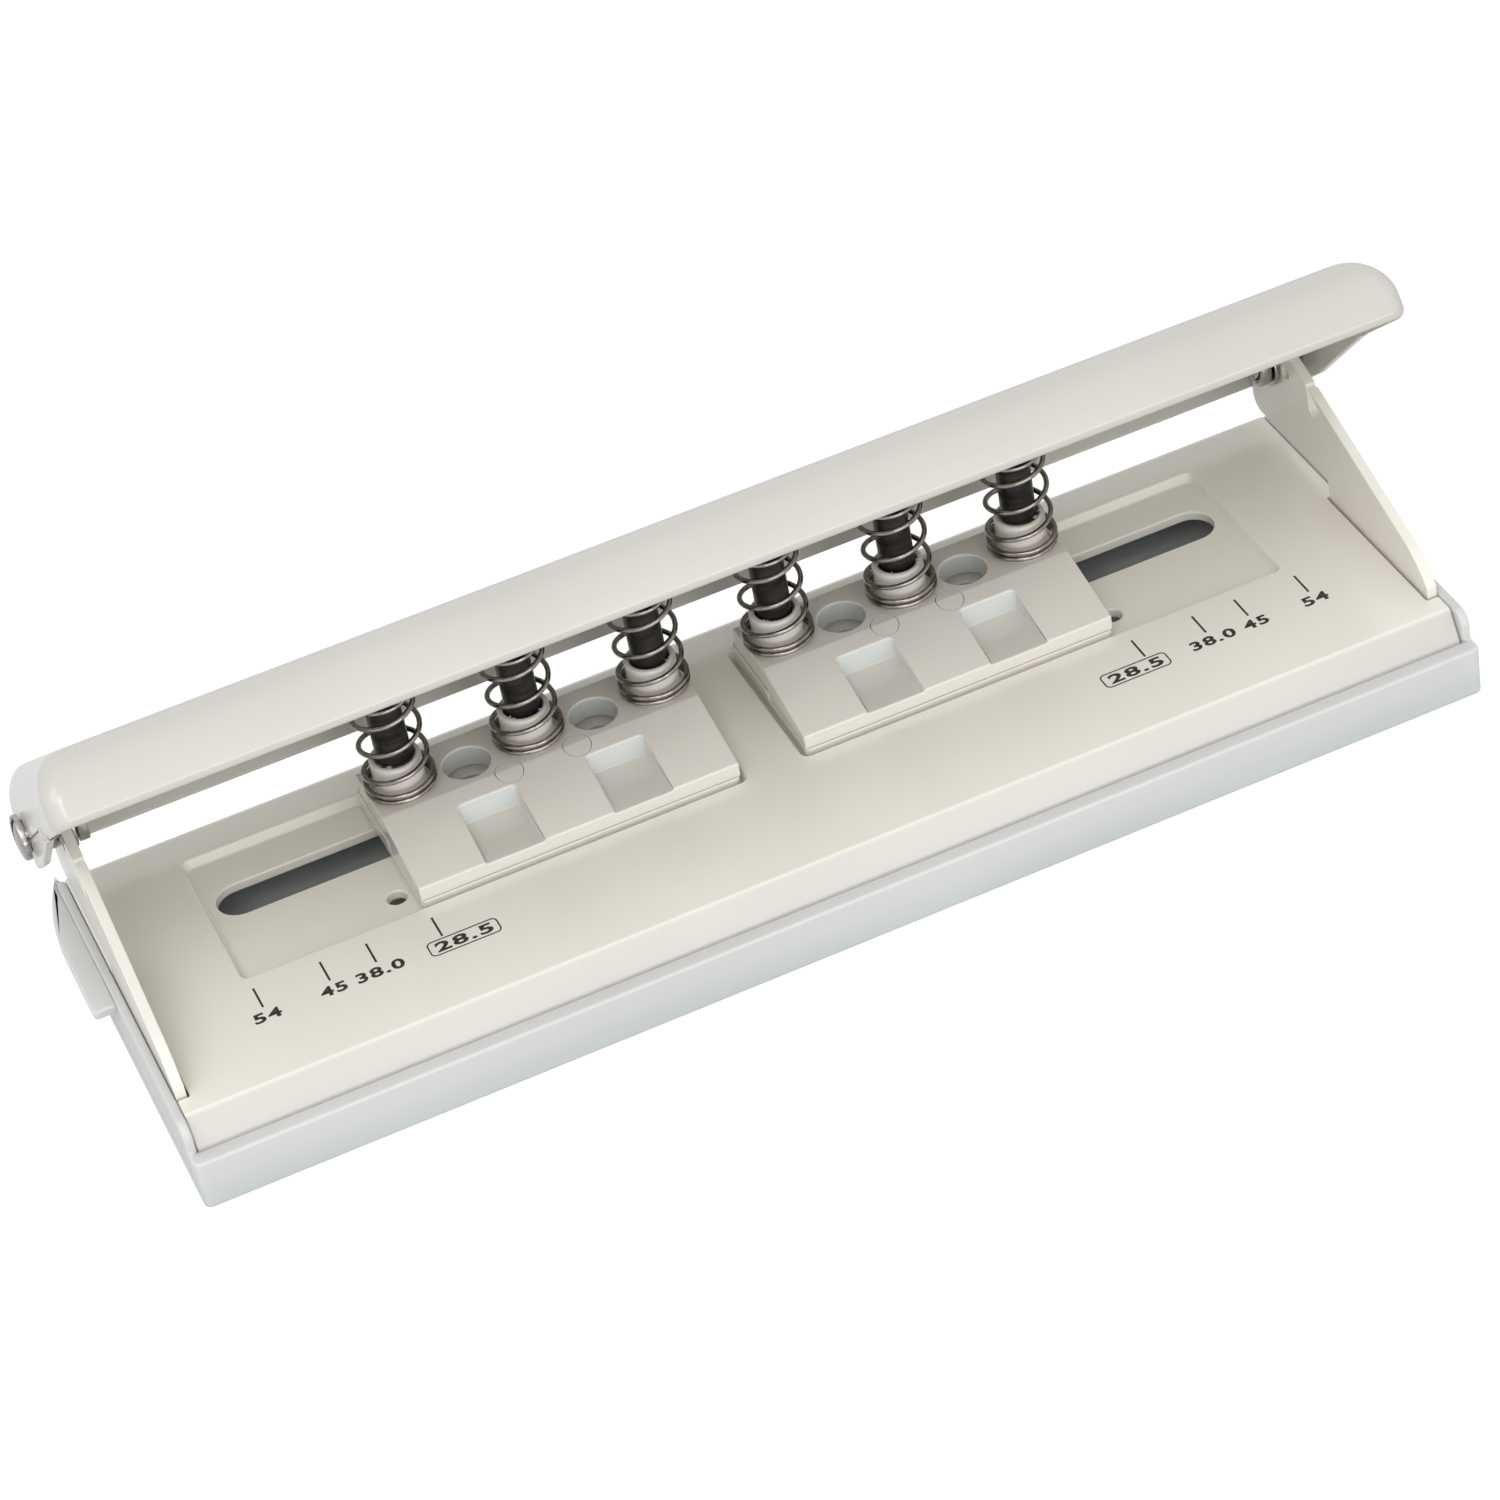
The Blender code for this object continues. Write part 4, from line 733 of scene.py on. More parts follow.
@cache
def enamel_finish(name="enamel"):
    """Baked enamel: glossy, with a fine orange-peel surface and a faint drift in tone, and painted shade
    where its colour is darkened.
    """
    colours = bpy.context.scene.punch_colours
    material, tree, shader = shader_of(name)
    drift = add_noise(tree, scale=38, detail=3)
    colour = getattr(colours, ENAMELS[name])
    tone = add_ramp(tree, drift, shaded(colour, 0.965), colour)
    # Painted shade: the base's sloping front takes the darker skirt colour, going over to the top's colour at
    # the front bend
    if name == "base_enamel":
        skirt = add_ramp(tree, drift, shaded(colours.skirt, 0.965), colours.skirt)
        bend = BASE_FRONT_RUN - BASE_DEPTH / 2
        tone = blend_along(tree, "Y", skirt, tone, bend - BASE_FRONT_RADIUS / 3, bend + BASE_FRONT_RADIUS / 3)
    coarse = add_bump(tree, add_noise(tree, scale=520, detail=1), depth=0.03 * MM, strength=0.35)
    set_inputs(tree, shader, {
        "Base Color": tone,
        "Roughness": add_range(tree, add_noise(tree, scale=260), low=0.15, high=0.21),
        "Coat Weight": 0.2,
        "Coat Roughness": 0.12,
        "Normal": add_bump(tree, add_noise(tree, scale=1500), depth=0.01 * MM, strength=0.3, under=coarse),
    })
    return material


@cache
def tray_finish():
    """Soft milky plastic that lets some light through, with faint flow marks, and painted light that makes it
    lighter above its shelf, where the base stands behind it.
    """
    colours = bpy.context.scene.punch_colours
    material, tree, shader = shader_of("milky_plastic")
    flow = add_noise(tree, scale=60, detail=3, stretch=(0.35, 1, 1))
    # Painted light: above its shelf the tray is lighter, standing in for the base's enamel showing through
    # the plastic; the foot below is darker
    upper = add_ramp(tree, flow, shaded(colours.tray, 0.96), colours.tray)
    lower = add_ramp(tree, flow, shaded(colours.tray_foot, 0.94), colours.tray_foot)
    set_inputs(tree, shader, {
        "Base Color": blend_along(tree, "Z", lower, upper, TRAY_FLOOR, TRAY_SHELF_TOP - TRAY_SHELF_THICKNESS),
        "Roughness": add_range(tree, add_noise(tree, scale=420, detail=3), low=0.3, high=0.42),
        "Subsurface Weight": 0.45,
        "Subsurface Radius": (2.2 * MM, 2.4 * MM, 2.6 * MM),
        "Subsurface Scale": 1.0,
        "Transmission Weight": 0.15,
        "Normal": add_bump(tree, add_noise(tree, scale=300), depth=0.03 * MM, strength=0.3),
    })
    return material


@cache
def metal_finish(name):
    """Bare metal with fine working marks."""
    setting, roughness, depth, scale, stretch = METALS[name]
    colour = getattr(bpy.context.scene.punch_colours, setting)
    material, tree, shader = shader_of(name)
    marks = add_noise(tree, scale, 4, stretch)
    set_inputs(tree, shader, {
        "Base Color": add_ramp(tree, marks, shaded(colour, 0.75), colour),
        "Roughness": add_range(tree, marks, low=roughness * 0.75, high=roughness * 1.25),
        "Metallic": 1.0,
        "Normal": add_bump(tree, marks, depth, strength=0.5),
    })
    return material


@cache
def pin_finish():
    """Blackened steel with fine turning marks round the pin."""
    colour = bpy.context.scene.punch_colours.pin
    material, tree, shader = shader_of("black_steel")
    turning = add_noise(tree, scale=900, detail=3, stretch=(0.12, 0.12, 1))
    set_inputs(tree, shader, {
        "Base Color": add_ramp(tree, turning, colour, shaded(colour, 2.2)),
        "Roughness": add_range(tree, turning, low=0.26, high=0.42),
        "Metallic": 0.75,
        "Normal": add_bump(tree, turning, depth=0.006 * MM, strength=0.5),
    })
    return material


@cache
def ink_finish():
    """Printed ink, slightly uneven."""
    colour = bpy.context.scene.punch_colours.ink
    material, tree, shader = shader_of("ink")
    spread = add_noise(tree, scale=1800, detail=3)
    set_inputs(tree, shader, {
        "Base Color": add_ramp(tree, spread, colour, shaded(colour, 2.0)),
        "Roughness": add_range(tree, spread, low=0.4, high=0.6),
    })
    return material


class PUNCH_OT_add_tray(bpy.types.Operator):
    """Soft chip tray with high ends, a shelf for the base and a pull lip at the left"""

    bl_idname = "punch.add_tray"
    bl_label = "Chip tray"

    def execute(self, context):
        plan = rounded_rectangle(-TRAY_HALF_X, -TRAY_HALF_Y, TRAY_HALF_X, TRAY_HALF_Y, TRAY_CORNER_RADIUS)
        tray = new_object("tray_shell", prism_z(plan, 0, TRAY_END_HEIGHT))
        seat_x, seat_y = TRAY_SEAT_HALF_X, TRAY_SEAT_HALF_Y
        shelf_bottom = TRAY_SHELF_TOP - TRAY_SHELF_THICKNESS
        room_y = TRAY_HALF_Y - TRAY_WALL
        cut_from(
            tray,
            block((-seat_x, -seat_y, TRAY_SHELF_TOP), (seat_x, seat_y, TRAY_END_HEIGHT + OVERRUN)),
            block((-seat_x + TRAY_SHELF_WIDTH, -seat_y + TRAY_SHELF_WIDTH, shelf_bottom - TRAY_FLOOR),
                  (seat_x - TRAY_SHELF_WIDTH, seat_y - TRAY_SHELF_WIDTH, TRAY_END_HEIGHT)),
            block((-seat_x, -room_y, TRAY_FLOOR), (seat_x, room_y, shelf_bottom)),
            self.shoulder(-1),
            self.shoulder(1),
        )
        join_to(tray, self.pull_lip())
        round_edges(tray, context.scene.punch_sizes.tray_edge)
        finish_piece(tray, tray_finish(), "tray", "chip_tray")
        return {"FINISHED"}

    def shoulder(self, front):
        """What is cleared above the rim, in front of (or behind) the end walls' rounded shoulders."""
        outside = TRAY_HALF_Y + OVERRUN
        shoulder = TRAY_SEAT_HALF_Y - TRAY_CLEARANCE
        top = TRAY_END_HEIGHT + OVERRUN
        crest = shoulder - TRAY_SHOULDER_RADIUS
        bend = arc((crest, TRAY_END_HEIGHT - TRAY_SHOULDER_RADIUS), TRAY_SHOULDER_RADIUS, 0, math.pi / 2,
                   CORNER_STEPS)
        outline = [(outside, TRAY_RIM_HEIGHT), (shoulder, TRAY_RIM_HEIGHT)]
        outline += [(p.x, p.y) for p in bend] + [(crest, top), (outside, top)]
        reach = TRAY_HALF_X + OVERRUN
        return prism_x([(front * y, z) for y, z in outline], -reach, reach)

    def pull_lip(self):
        """Flat lip along the top of the left end wall."""
        root = -TRAY_HALF_X + PULL_LIP_ROOT
        edge = -TRAY_HALF_X - PULL_LIP_REACH
        corners = [
            (root, PULL_LIP_FRONT_Y, 0),
            (edge, PULL_LIP_FRONT_Y, PULL_LIP_FRONT_RADIUS),
            (edge, PULL_LIP_BEND_Y, PULL_LIP_BEND_RADIUS),
            (root, PULL_LIP_BACK_Y, 0),
        ]
        top = TRAY_END_HEIGHT - PULL_LIP_DROP
        return prism_z(outline_points(corners), top - PULL_LIP_THICKNESS, top)


class PUNCH_OT_add_base(bpy.types.Operator):
    """Pressed base with a sloping front, two shallow recesses, chip slots and index holes"""

    bl_idname = "punch.add_base"
    bl_label = "Base"

    def execute(self, context):
        base = new_object("base_pressing", prism_x(self.section(), -BASE_HALF, BASE_HALF))
        flange_x = CHEEK_INNER_X - GAP
        for side in (-1, 1):
            notch = block((flange_x, CHEEK_FRONT_Y - GAP, BASE_FOOT - OVERRUN),
                          (BASE_HALF + OVERRUN, CHEEK_BACK_OF_FOOT_Y + GAP, BASE_TOP + OVERRUN))
            flange = block((flange_x - BASE_SHEET, CHEEK_FRONT_Y, BASE_FOOT),
                           (flange_x, CHEEK_BACK_OF_FOOT_Y, BASE_TOP - BASE_SHEET / 2))
            cut_from(base, mirrored(notch, side))
            join_to(base, mirrored(flange, side))
        for side in (-1, 1):
            pan = prism_z(self.recess_plan(side, BASE_SHEET), RECESS_UNDERSIDE, BASE_TOP - BASE_SHEET / 2)
            join_to(base, pan)
        for side in (-1, 1):
            cut_from(base, self.recess_cutter(side))
        round_edges(base, context.scene.punch_sizes.enamel_edge)
        for side in (-1, 1):
            cut_from(base, self.lipped_cutter(self.slot_plan, side),
                     self.lipped_cutter(self.index_hole_plan, side))
            for y, z in RIVET_PLACES:
                hole = bore_x(RIVET_HOLE_RADIUS, flange_x - BASE_SHEET - OVERRUN, flange_x + OVERRUN, y, z)
                cut_from(base, mirrored(hole, side))
        finish_piece(base, enamel_finish("base_enamel"), "base", "base_plate")
        return {"FINISHED"}

    def section(self):
        """Section of the sheet: front skirt, top and back skirt."""
        foot_y = -BASE_DEPTH / 2
        back_y = BASE_DEPTH / 2
        slope = math.atan2(BASE_FRONT_RUN, BASE_TOP - BASE_FOOT)
        outer, sharp = [outline_points([
            (foot_y, BASE_FOOT, 0),
            (foot_y + BASE_FRONT_RUN, BASE_TOP, front_radius),
            (back_y, BASE_TOP, back_radius),
            (back_y, BASE_FOOT, 0),
        ]) for front_radius, back_radius in ((BASE_FRONT_RADIUS, BASE_BACK_RADIUS), (0, 0))]
        inner = offset_path(sharp, BASE_SHEET)
        inner[0] = Vector((foot_y + BASE_SHEET / math.cos(slope), BASE_FOOT))
        return outer + inner[::-1]

    def recess_plan(self, side, grow):
        """Plan of one recess, grown by a wall on every side."""
        inner = BLOCK_INNER_X - GAP - grow
        outer = BLOCK_OUTER_X + BLOCK_TRAVEL + GAP + grow
        front = BLOCK_FRONT_Y - GAP - grow
        back = BLOCK_FRONT_Y + DIE_DEPTH + GAP + grow
        plan = rounded_rectangle(inner, front, outer, back, RECESS_CORNER_RADIUS + grow)
        return [(side * p.x, p.y) for p in plan]

    def recess_cutter(self, side):
        """Room of one recess, wider at the top, where the sheet bends over."""
        flare = RECESS_WALL_RUN * (1 + OVERRUN / RECESS_DEPTH)
        bm = prism_z(self.recess_plan(side, 0), RECESS_FLOOR, BASE_TOP + OVERRUN)
        middle = Vector((side * (BLOCK_INNER_X + BLOCK_OUTER_X + BLOCK_TRAVEL),
                         2 * BLOCK_FRONT_Y + DIE_DEPTH, 0)) / 2
        half_x = (BLOCK_OUTER_X + BLOCK_TRAVEL - BLOCK_INNER_X) / 2 + GAP
        half_y = DIE_DEPTH / 2 + GAP
        bmesh.ops.scale(bm, vec=(1 + flare / half_x, 1 + flare / half_y, 1),
                        space=Matrix.Translation(-middle), verts=[v for v in bm.verts if v.co.z > BASE_TOP])
        return bm

    def lipped_cutter(self, plan, side):
        """Cutter through a recess floor, whose mouth widens in a rounded lip."""
        lip = bpy.context.scene.punch_sizes.enamel_edge
        rings = [[(x, y, RECESS_UNDERSIDE - OVERRUN) for x, y in plan(side, 0)]]
        for height, grow in LIP_SHAPE:
            rings.append([(x, y, RECESS_FLOOR + lip * height) for x, y in plan(side, lip * grow)])
        return bridge_rings(rings)

    def slot_plan(self, side, grow):
        """Plan of one chip slot, with round ends, grown all round."""
        radius = SLOT_WIDTH / 2
        inner = PIN_PITCH / 2 - PIN_BORE_RADIUS - SLOT_END_MARGIN + radius
        outer = (PINS_PER_BLOCK - 0.5) * PIN_PITCH + BLOCK_TRAVEL + PIN_BORE_RADIUS + SLOT_END_MARGIN - radius
        radius += grow
        right = arc((outer, SLOT_Y), radius, -math.pi / 2, math.pi / 2, 2 * CORNER_STEPS)
        left = arc((inner, SLOT_Y), radius, math.pi / 2, 3 * math.pi / 2, 2 * CORNER_STEPS)
        return [(side * p.x, p.y) for p in right + left]

    def index_hole_plan(self, side, grow):
        """Plan of one index hole, grown all round."""
        x = side * (BLOCK_OUTER_X + INDEX_HOLE_BESIDE_BLOCK)
        y = BLOCK_FRONT_Y + INDEX_HOLE_FROM_FRONT
        circle = arc((0, 0), INDEX_HOLE_RADIUS + grow, 0, math.tau, SMALL_STEPS)[:-1]
        return [(x + p.x, y + p.y) for p in circle]


class PUNCH_OT_add_scale(bpy.types.Operator):
    """Printed ticks and plain numbers in front of the blocks' travel"""

    bl_idname = "punch.add_scale"
    bl_label = "Printed scale"

    def execute(self, context):
        sizes = context.scene.punch_sizes
        ink_top = BASE_TOP + INK_THICKNESS
        for side, word in SIDES:
            for number, (step, text, length, outwards) in enumerate(SCALE_MARKS, 1):
                x = side * (BLOCK_OUTER_X + TICK_BESIDE_BLOCK + step) + PRINT_SHIFT_X
                tick = block((x - sizes.tick_width / 2, TICK_FRONT_Y, BASE_TOP),
                             (x + sizes.tick_width / 2, TICK_BACK_Y, ink_top))
                tick = new_object(f"{word}_tick_{number}", tick)
                finish_piece(tick, ink_finish(), "base")
                middle = x + side * outwards
                self.add_label(f"{word}_label_{number}", text, middle, length, sizes)
                if number == 1:
                    self.add_frame(f"{word}_label_frame", middle)
        return {"FINISHED"}

    def add_label(self, name, text, x, length, sizes):
        """One printed number, fitted to its length and height."""
        curve = bpy.data.curves.new(name, "FONT")
        curve.body = text
        curve.extrude = LETTER_DEPTH / 2
        curve.offset = sizes.label_weight
        curve.space_character = LETTER_SPACING
        mesh = mesh_of_curve(curve)
        across = [v.co.x for v in mesh.vertices]
        upright = [v.co.y for v in mesh.vertices]
        middle = Vector((min(across) + max(across), min(upright) + max(upright), 0)) / 2
        fit = Matrix.Diagonal((length / (max(across) - min(across)),
                               sizes.label_height / (max(upright) - min(upright)),
                               INK_THICKNESS / LETTER_DEPTH, 1))
        place = Matrix.Translation((x, LABEL_Y, BASE_TOP + INK_THICKNESS / 2))
        mesh.transform(place @ fit @ Matrix.Translation(-middle))
        finish_piece(link_object(name, mesh), ink_finish(), "base")

    def add_frame(self, name, x):
        """Rounded line round the number of the blocks' innermost place."""
        def plan(inset):
            half_x = LABEL_BOX_LENGTH / 2 - inset
            half_y = LABEL_BOX_WIDTH / 2 - inset
            return rounded_rectangle(x - half_x, LABEL_Y - half_y, x + half_x, LABEL_Y + half_y,
                                     LABEL_BOX_RADIUS - inset)

        frame = new_object(name, prism_z(plan(0), BASE_TOP, BASE_TOP + INK_THICKNESS))
        cut_from(frame, prism_z(plan(LABEL_BOX_LINE), BASE_TOP - OVERRUN, BASE_TOP + OVERRUN))
        finish_piece(frame, ink_finish(), "base")


class PUNCH_OT_add_cheeks(bpy.types.Operator):
    """End plates with pivot hole, keyhole, round hole and paper gap"""

    bl_idname = "punch.add_cheeks"
    bl_label = "Cheeks"

    def execute(self, context):
        low, high = CHEEK_INNER_X - OVERRUN, CHEEK_OUTER_X + OVERRUN
        for side, word in SIDES:
            plate = mirrored(prism_x(self.outline(), CHEEK_INNER_X, CHEEK_OUTER_X), side)
            cheek = new_object(word + "_end_plate", plate)
            cutters = [
                bore_x(PIVOT_SHANK_RADIUS + GAP, low, high, PIVOT_Y, PIVOT_Z),
                prism_x(self.keyhole(), low, high),
                bore_x(ROUND_HOLE_RADIUS, low, high, PIVOT_Y + ROUND_HOLE_FROM_PIVOT_Y,
                       PIVOT_Z + ROUND_HOLE_FROM_PIVOT_Z),
            ]
            cutters += [bore_x(RIVET_HOLE_RADIUS, low, high, y, z) for y, z in RIVET_PLACES]
            cut_from(cheek, *[mirrored(cutter, side) for cutter in cutters])
            round_edges(cheek, context.scene.punch_sizes.enamel_edge / 2)
            finish_piece(cheek, enamel_finish(), "base", word + "_cheek")
        return {"FINISHED"}

    def outline(self):
        """Foot, nose, top edge sloping up to the round head, upright back and paper gap."""
        pivot = Vector((PIVOT_Y, PIVOT_Z))
        nib = Vector((CHEEK_FRONT_Y, BASE_TOP + CHEEK_NIB_HEIGHT))
        nose = Vector((CHEEK_FRONT_Y + CHEEK_NOSE_RUN, BASE_TOP + CHEEK_NOSE_RISE))
        away = pivot - nose
        slope = math.atan2(away.y, away.x) + math.asin(CHEEK_HEAD_RADIUS / away.length)
        nose_corner = nose - Vector((math.cos(slope), math.sin(slope))) * (CHEEK_NOSE_RUN / 2)
        under = BASE_TOP + CHEEK_PAPER_GAP
        outline = [Vector((CHEEK_FRONT_Y, BASE_FOOT)), nib]
        outline += curve_between(nib + Vector((GAP, GAP)), nose_corner, nose, 2 * CORNER_STEPS)
        outline += arc(pivot, CHEEK_HEAD_RADIUS, math.pi / 2 + slope, 0, 4 * CORNER_STEPS)
        lower = outline_points([
            (*outline[-1], 0),
            (outline[-1].x, under, CHEEK_HEEL_RADIUS),
            (CHEEK_BACK_OF_FOOT_Y, under, CHEEK_FOOT_RADIUS),
            (CHEEK_BACK_OF_FOOT_Y, BASE_FOOT, 0),
            (*outline[0], 0),
        ])
        return outline + lower[1:-1]

    def keyhole(self):
        """Teardrop hole that narrows into a slit, which leaves the cheek through its top edge."""
        centre = Vector((PIVOT_Y + KEYHOLE_FROM_PIVOT_Y, PIVOT_Z + KEYHOLE_FROM_PIVOT_Z))
        tip = centre + Vector((KEYHOLE_TIP_RUN, KEYHOLE_TIP_RISE))
        lean = math.atan2(KEYHOLE_TIP_RISE, KEYHOLE_TIP_RUN)
        half = math.acos(KEYHOLE_RADIUS / (tip - centre).length)
        end = tip + (tip - centre)
        across = Vector((KEYHOLE_SLIT_WIDTH / 2, 0))
        slit = [tip + across, end + across, end - across, tip - across]
        return slit + arc(centre, KEYHOLE_RADIUS, lean + half, lean + math.tau - half, 3 * CORNER_STEPS)


class PUNCH_OT_add_handle(bpy.types.Operator):
    """Pressed channel with rounded edges and ends, standing open on its pivots"""

    bl_idname = "punch.add_handle"
    bl_label = "Handle"

    def execute(self, context):
        handle = new_object("handle_channel", bridge_rings(self.rings(0)))
        cut_from(handle, bridge_rings(self.rings(HANDLE_SHEET)))
        join_to(handle, self.ear(-1), self.ear(1))
        reach = HANDLE_HALF + OVERRUN
        cut_from(handle, bore_x(PIVOT_SHANK_RADIUS + GAP, -reach, reach, 0, 0))
        round_edges(handle, context.scene.punch_sizes.enamel_edge)
        place = Matrix.Translation((0, PIVOT_Y, PIVOT_Z))
        handle.data.transform(place @ Matrix.Rotation(-OPEN_ANGLE, 4, "X"))
        # The handle's enamel is darkened as painted shade
        finish_piece(handle, enamel_finish("handle_enamel"), "handle", "handle")
        return {"FINISHED"}

    def rounding(self, radius, below):
        """How far a rounded edge draws in at a depth below its top."""
        return radius - math.sqrt(radius ** 2 - max(radius - below, 0) ** 2)

    def rings(self, inset):
        """Rings from bottom to roof, round the outside, or round the room inside, a sheet further in."""
        rim = -HANDLE_RIM_DROP
        front_edge = HANDLE_FRONT_EDGE_RADIUS - inset
        back_edge = HANDLE_BACK_EDGE_RADIUS - inset
        growth = HANDLE_ROOF_CORNER_RADIUS - HANDLE_CORNER_RADIUS
        rings = []
        for step in range(HANDLE_RING_STEPS + 1):
            angle = math.pi / 2 * step / HANDLE_RING_STEPS
            below = (HANDLE_END_FALL - inset) * (1 - math.sin(angle))
            closing_share = 1 - math.cos(angle)
            lean = HANDLE_FRONT_DRAFT * (HANDLE_FRONT_HEIGHT - inset - below) / HANDLE_FRONT_HEIGHT
            front = -HANDLE_REACH + inset + lean + self.rounding(front_edge, below)
            back = HANDLE_BACK - inset - self.rounding(back_edge, below)
            front_x, back_x = [HANDLE_HALF - inset - (run - inset) * closing_share
                               for run in (HANDLE_END_RUN_FRONT, HANDLE_END_RUN_BACK)]
            radius = HANDLE_CORNER_RADIUS - inset + growth * closing_share
            plan = outline_points([(-front_x, front, radius), (front_x, front, radius),
                                   (back_x, back, radius), (-back_x, back, radius)])
            if not rings and inset:
                rings.append([(p.x, p.y, rim - OVERRUN) for p in plan])
            elif not rings:
                rings += self.rim_rings(front_x, front, back, radius)
            crown = rim + HANDLE_FRONT_HEIGHT - inset / math.cos(HANDLE_ROOF_SLOPE) - below
            start = -HANDLE_REACH + HANDLE_FRONT_DRAFT
            rings.append([(p.x, p.y, crown + (p.y - start) * math.tan(HANDLE_ROOF_SLOPE)) for p in plan])
        return rings

    def rim_rings(self, half, front, back, radius):
        """Rings of the outside where it draws in round its lower rim."""
        rings = []
        for step in range(CORNER_STEPS):
            turn = HANDLE_RIM_TURN * (1 - step / CORNER_STEPS)
            draw = HANDLE_RIM_RADIUS * (1 - math.cos(turn))
            z = HANDLE_RIM_RADIUS * (math.sin(HANDLE_RIM_TURN) - math.sin(turn)) - HANDLE_RIM_DROP
            plan = rounded_rectangle(draw - half, front + draw, half - draw, back - draw, radius - draw)
            rings.append([(p.x, p.y, z) for p in plan])
        return rings

    def ear(self, side):
        """Ear that reaches down from an end wall round the pivot."""
        root = EAR_ROOT - HANDLE_RIM_DROP
        tip = -HANDLE_RIM_DROP - EAR_DEPTH
        outline = outline_points([(-EAR_FRONT, root, 0), (-EAR_FRONT, -HANDLE_RIM_DROP, 0),
                                  (-EAR_TIP_FRONT, tip, EAR_CORNER_RADIUS),
                                  (EAR_BACK, tip, EAR_CORNER_RADIUS), (EAR_BACK, root, 0)])
        return mirrored(prism_x(outline, HANDLE_HALF - HANDLE_SHEET, HANDLE_HALF), side)


class PUNCH_OT_add_pivots(bpy.types.Operator):
    """Slotted screws, washers, spacers and slotted nuts of the handle's pivots"""

    bl_idname = "punch.add_pivots"
    bl_label = "Pivots"

    def execute(self, context):
        edge = context.scene.punch_sizes.metal_edge
        centre = (0, PIVOT_Y, PIVOT_Z)
        shank = PIVOT_SHANK_RADIUS
        outer = SCREW_HIGH[0] - PIVOT_HEAD_HEIGHT
        flat = 1 - PIVOT_DOME_SHARE
        screw = [(0, NUT_LOW[0]), (shank, NUT_LOW[0]), (shank, outer), (PIVOT_HEAD_RADIUS, outer)]
        for angle in [math.pi / 2 * step / CORNER_STEPS for step in range(CORNER_STEPS)]:
            rise = PIVOT_HEAD_HEIGHT * (flat + PIVOT_DOME_SHARE * math.sin(angle))
            screw.append((PIVOT_HEAD_RADIUS * math.cos(angle), outer + rise))
        screw.append((0, SCREW_HIGH[0]))
        rings = (("nut", NUT_LOW, NUT_HIGH), ("washer", WASHER_LOW, WASHER_HIGH),
                 ("spacer", SPACER_LOW, SPACER_HIGH))
        for side, word in SIDES:
            piece = new_object(word + "_screw", mirrored(turned(screw, centre, "X"), side))
            self.cut_slot(piece, side, SCREW_HIGH[0] - SLOT_CUT_DEPTH, SCREW_HIGH[0] + OVERRUN)
            round_edges(piece, edge / 2, segments=2)
            finish_piece(piece, metal_finish("nickel"), "base", word + "_pivot_screw")
            for kind, low, high in rings:
                ring = rod((high[2] - low[2]) / 2, low[0], high[0], centre, "X")
                piece = new_object(f"{word}_{kind}", mirrored(ring, side))
                hole = bore_x(shank + GAP, low[0] - OVERRUN, high[0] + OVERRUN, PIVOT_Y, PIVOT_Z)
                cut_from(piece, mirrored(hole, side))
                if kind == "nut":
                    self.cut_slot(piece, side, low[0] - OVERRUN, low[0] + SLOT_CUT_DEPTH)
                round_edges(piece, edge, segments=2)
                finish_piece(piece, metal_finish("nickel"), "base", f"{word}_pivot_{kind}")
        return {"FINISHED"}

    def cut_slot(self, piece, side, start, end):
        """Screwdriver slot across the pivot axis."""
        long = PIVOT_HEAD_RADIUS + OVERRUN
        half = SLOT_CUT_WIDTH / 2
        slot = block((start, PIVOT_Y - half, PIVOT_Z - long), (end, PIVOT_Y + half, PIVOT_Z + long))
        cut_from(piece, mirrored(slot, side))


